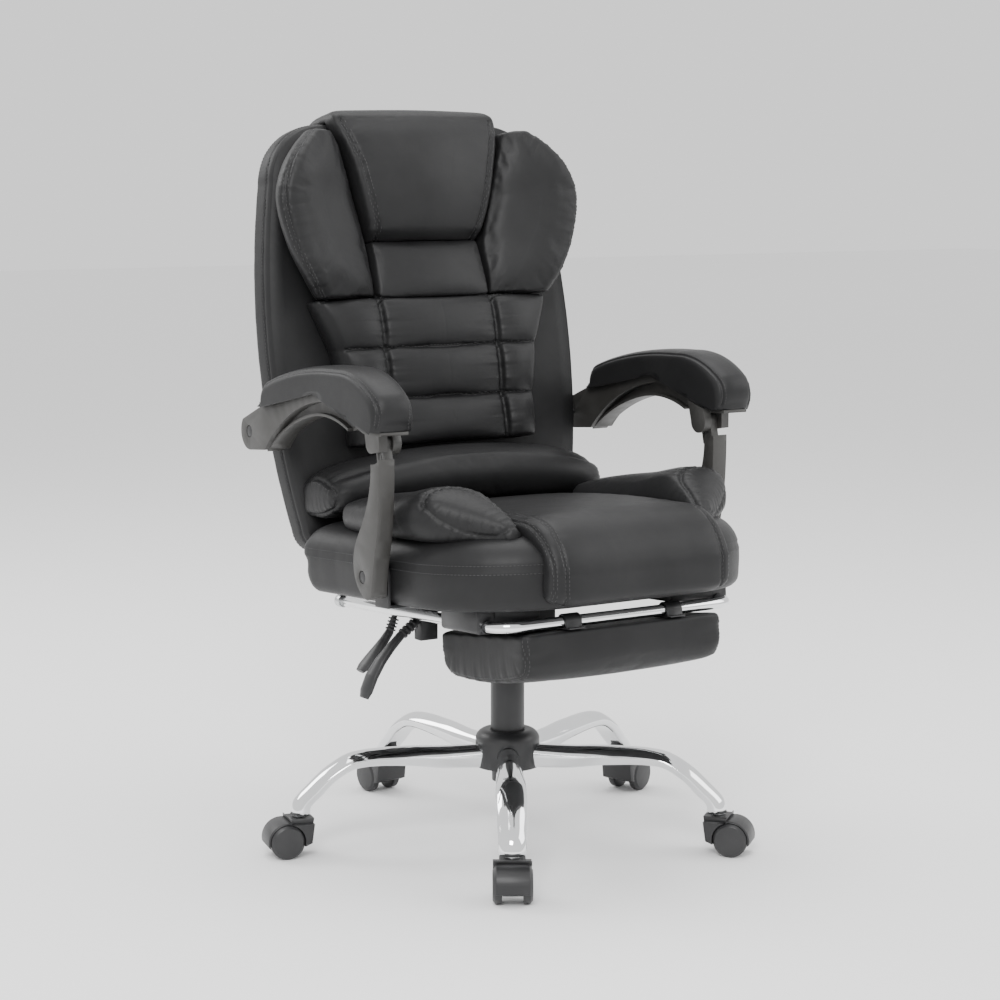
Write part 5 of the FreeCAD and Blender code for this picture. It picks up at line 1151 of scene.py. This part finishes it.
def pad_section(x, inset):
    at = PAD_CENTRE + x
    share = 1 - inset / 190.0
    crest = [(y * share, z - inset) for y, z in PAD_CREST]
    lower = np.concatenate(side_arcs(ARM_SEAM, at, RUN))
    front = (at, ARM_SEAM[-1][0], ARM_SEAM[-1][1] + RUN)
    tip = (at, ARM_NOSE_Y + inset * 0.9, front[2] + 0.5)
    crest_line = np.concatenate(side_arcs(crest, at) + [np.array([(at, *crest[-1])])])
    return np.concatenate([lower, line(front, tip, 6), line(tip, crest_line[-1], 4), crest_line[::-1]])


PAD_NOSE_ROUND = 6.0
PAD_REAR_ROUND = 10.0


def rounded_ends(points):
    """Pulls the corners of both ends of a pad back, so that they are round in plan."""
    points = np.array(points, float)
    across = np.clip(np.abs(np.abs(points[..., 0]) - PAD_CENTRE) / PAD_HALF_WIDTH, 0, 1)
    bend = 1 - np.sqrt(1 - 0.97 * across ** 2)
    nose = np.clip((-100.0 - points[..., 1]) / 70.0, 0, 1)
    rear = np.clip((points[..., 1] - 125.0) / 50.0, 0, 1)
    points[..., 1] += bend * (PAD_NOSE_ROUND * nose - PAD_REAR_ROUND * rear)
    return points


def arm_pads():
    rows = rounded_ends(crowned(pad_section, PAD_HALF_WIDTH, 14.0, 90, 420, power=3.2))
    pieces = []
    for sign, side in ((1, "left"), (-1, "right")):
        flip = np.array([sign, 1, 1])
        obj = skin("arm_pad_cover_" + side, rows * flip, rings=5)
        borders = []
        for x in (-PAD_HALF_WIDTH + 5.0, PAD_HALF_WIDTH - 5.0):
            crest = [(y, z - 7.5) for y, z in PAD_CREST]
            path = np.concatenate(side_arcs(crest, PAD_CENTRE + x))
            borders.append(rounded_ends(path) * flip)
        for index, path in enumerate(borders):
            seam(
                obj, path, width=2.2, depth=1.4, swell=0.3, gather=0.12,
                wave=26.0, reach=10.0, seed=81 + index
            )
        finished(obj, "arm_" + side, "arm_pad_" + side, padded=0.9)
        rows_here = [(path, aside) for path in borders for aside in (-3.2, 3.2)]
        stitches("arm_pad_stitches_" + side, obj, rows_here, "arm_" + side, 4.5, 3.0, 0.36)
        pieces.append(obj)
    return pieces


# Footrest pad

def footrest_section(x, inset):
    top = -PAD_TOP_BELOW_BAR - inset * 0.5
    low = -PAD_TOP_BELOW_BAR - FOOTREST_THICKNESS + inset
    front = inset - PAD_AHEAD_OF_BAR
    rear = FOOTREST_LENGTH - PAD_AHEAD_OF_BAR - inset
    return np.concatenate([
        line((x, rear - 5.0, top), (x, front + 5.0, top), 30),
        arc((x, front + 5.0, top), (x, front + 1.5, top - 1.5), (x, front, top - 5.0), 4),
        line((x, front, top - 5.0), (x, front + 2.0, low + 20.0), 10),
        arc((x, front + 2.0, low + 20.0), (x, front + 9.0, low + 7.0), (x, front + 24.0, low), 10),
        arc((x, front + 24.0, low), (x, (front + rear) / 2, low - 6.0), (x, rear - 24.0, low), 30),
        arc((x, rear - 24.0, low), (x, rear - 9.0, low + 7.0), (x, rear - 2.0, low + 20.0), 10),
        line((x, rear - 2.0, low + 20.0), (x, rear, top - 5.0), 10),
        arc((x, rear, top - 5.0), (x, rear - 1.5, top - 1.5), (x, rear - 5.0, top), 4),
    ])


def footrest_cover():
    rows = crowned(footrest_section, FOOTREST_HALF_WIDTH, 9.0, 60, 200)
    obj = skin("footrest_cover", drooped(rows), rings=6)
    edges = []
    for sign in (1, -1):
        ring = resampled(footrest_section(sign * (FOOTREST_HALF_WIDTH - 1.5), 5.5), 200)
        keep = ring[:, 2] < -PAD_TOP_BELOW_BAR - 8.0
        edges.append(drooped(ring[keep]))
    filled(obj, voxel=5.0, pressure=3.0, cap=4.0, pins=edges, pin_width=6.0, hold=drooped_hold)
    subdivided(obj)
    for index, path in enumerate(edges):
        seam(obj, path, width=2.6, depth=2.0, swell=1.0, gather=1.0, wave=26.0, reach=14.0, seed=91 + index)
    finished(obj, "footrest_pad", "footrest_pad", padded=0.8)
    rows_here = [(path, aside) for path in edges for aside in (-4.0, 4.0)]
    stitches("footrest_stitches", obj, rows_here, "footrest_pad")
    return obj


def drooped_hold(points):
    level = drooped(np.array([[0, 0, -PAD_TOP_BELOW_BAR - 6.0]]))[0][2]
    lean = math.tan(math.radians(-FOOTREST_DROOP))
    front = drooped(np.array([[0, 0, 0]]))[0][1]
    return (points[:, 2] > level + (points[:, 1] - front) * lean).astype(float)


# Chromed legs, smooth along their whole length

LEG_STATIONS = (
    (294.0, 64.5, 0.0, 35.0, 30.0),
    (220.0, 67.5, -3.0, 32.0, 33.0),
    (165.0, 73.5, -2.0, 27.0, 38.0),
    (85.0, 74.0, 7.0, 21.5, 43.0),
    (48.0, 57.0, 34.0, 20.0, 44.0),
    (22.0, 34.0, 52.0, 22.0, 42.0),
    (3.0, 15.0, 74.0, 24.0, 40.0),
    (0.0, 0.0, 90.0, 26.0, 40.0),
)


def leg_section(inward, rise, fall, depth, width):
    turn = math.radians(fall)
    upright = np.array([math.sin(turn), 0, math.cos(turn)])
    centre = np.array([STEM_CIRCLE - inward, 0, LEG_END + rise])
    side = np.array([0, 1, 0])
    half = width / 2
    low = centre - upright * (depth / 2)
    flank = centre - upright * (depth * 0.02)
    top = centre + upright * (depth / 2)
    foot = half - 4.0
    round_off = 2.2
    inner_low = low - side * (foot - round_off)
    outer_low = low + side * (foot - round_off)
    up = (flank + side * half) - (low + side * foot)
    up = up / np.linalg.norm(up)
    other_up = (flank - side * half) - (low - side * foot)
    other_up = other_up / np.linalg.norm(other_up)
    outer_foot = low + side * foot + up * round_off
    inner_foot = low - side * foot + other_up * round_off
    return resampled(np.concatenate([
        line(inner_low, outer_low, 8),
        arc(outer_low, low + side * (foot - 0.6) + upright * 0.6, outer_foot, 4),
        line(outer_foot, flank + side * half, 6),
        arc(flank + side * half, top, flank - side * half, 30),
        line(flank - side * half, inner_foot, 6),
        arc(inner_foot, low - side * (foot - 0.6) + upright * 0.6, inner_low, 4),
    ]), 72)


def chrome_legs():
    rows = np.array([leg_section(*station) for station in smooth_stations(LEG_STATIONS, 60, 2)])
    pieces = []
    for index in range(5):
        turn = math.radians(FIRST_LEG_ANGLE + index * 72.0 - 90.0)
        placed = rows.copy()
        placed[..., 0] = rows[..., 0] * math.cos(turn) - rows[..., 1] * math.sin(turn)
        placed[..., 1] = rows[..., 0] * math.sin(turn) + rows[..., 1] * math.cos(turn)
        obj = skin("base_leg_" + str(index + 1), placed, rings=4)
        finished(obj, "base", material=CHROME, slot="chrome_tube")
        pieces.append(obj)
    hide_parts("base_legs")
    return pieces


seat_box()
seat_panel()
seat_bolsters()
back_shell()
back_tufts()
back_wings()
headrest()
lumbar_roll()
arm_pads()
footrest_cover()
chrome_legs()


# Floor, light and camera

FLOOR_SIZE = 40.0
FLOOR_DROP = 0.0002
WORLD_STRENGTH = 1.15
LIGHT_TARGET = (0, 0, 0.55)

# Name, place in metres, size in metres and power in watts
LIGHTS = (
    ("key", (-2.2, -2.6, 3.0), 1.5, 115.0),
    ("fill", (2.6, -1.8, 2.2), 2.2, 45.0),
    ("top", (0.2, 0.4, 3.4), 2.4, 60.0),
    ("rim", (-1.6, 2.6, 2.4), 1.4, 45.0),
)

CAMERA_PLACE = (-1.92434, -2.96190, 0.98436)
CAMERA_AHEAD = (0.53725527, 0.83264317, -0.13439543)
CAMERA_RIGHT = (0.84026625, -0.54217399, 0.0)
CAMERA_LENS = 87.383
CAMERA_SENSOR = 36.0


def studio():
    scene = bpy.context.scene
    bpy.ops.mesh.primitive_plane_add(size=1.0)
    floor = bpy.context.object
    floor.name = "floor"
    floor.scale = (FLOOR_SIZE, FLOOR_SIZE, 1)
    floor.location = (0, 0, -FLOOR_DROP)
    material, tree, shader, place = new_material("studio_floor")
    tone = noise_node(tree, place, 3.0, 2.0)
    pale = mixed_color(tree, tone, (0.93, 0.93, 0.93), (0.94, 0.94, 0.94))
    tree.links.new(pale, shader.inputs["Base Color"])
    shader.inputs["Roughness"].default_value = 0.85
    floor.data.materials.append(material)
    world = bpy.data.worlds.new("studio")
    world.use_nodes = True
    world.node_tree.nodes["Background"].inputs["Color"].default_value = (1, 1, 1, 1)
    world.node_tree.nodes["Background"].inputs["Strength"].default_value = WORLD_STRENGTH
    scene.world = world
    for name, place, size, power in LIGHTS:
        data = bpy.data.lights.new(name, "AREA")
        data.energy = power
        data.size = size
        light = bpy.data.objects.new(name, data)
        light.location = place
        aim = Vector(LIGHT_TARGET) - Vector(place)
        light.rotation_euler = aim.to_track_quat("-Z", "Y").to_euler()
        scene.collection.objects.link(light)


def camera():
    data = bpy.data.cameras.new("photo_camera")
    data.sensor_width = CAMERA_SENSOR
    data.lens = CAMERA_LENS
    data.clip_end = 60.0
    obj = bpy.data.objects.new("photo_camera", data)
    ahead = Vector(CAMERA_AHEAD).normalized()
    right = Vector(CAMERA_RIGHT).normalized()
    up = right.cross(ahead)
    place = Matrix((right, up, -ahead)).transposed().to_4x4()
    place.translation = Vector(CAMERA_PLACE)
    obj.matrix_world = place
    bpy.context.scene.collection.objects.link(obj)
    bpy.context.scene.camera = obj


studio()
camera()
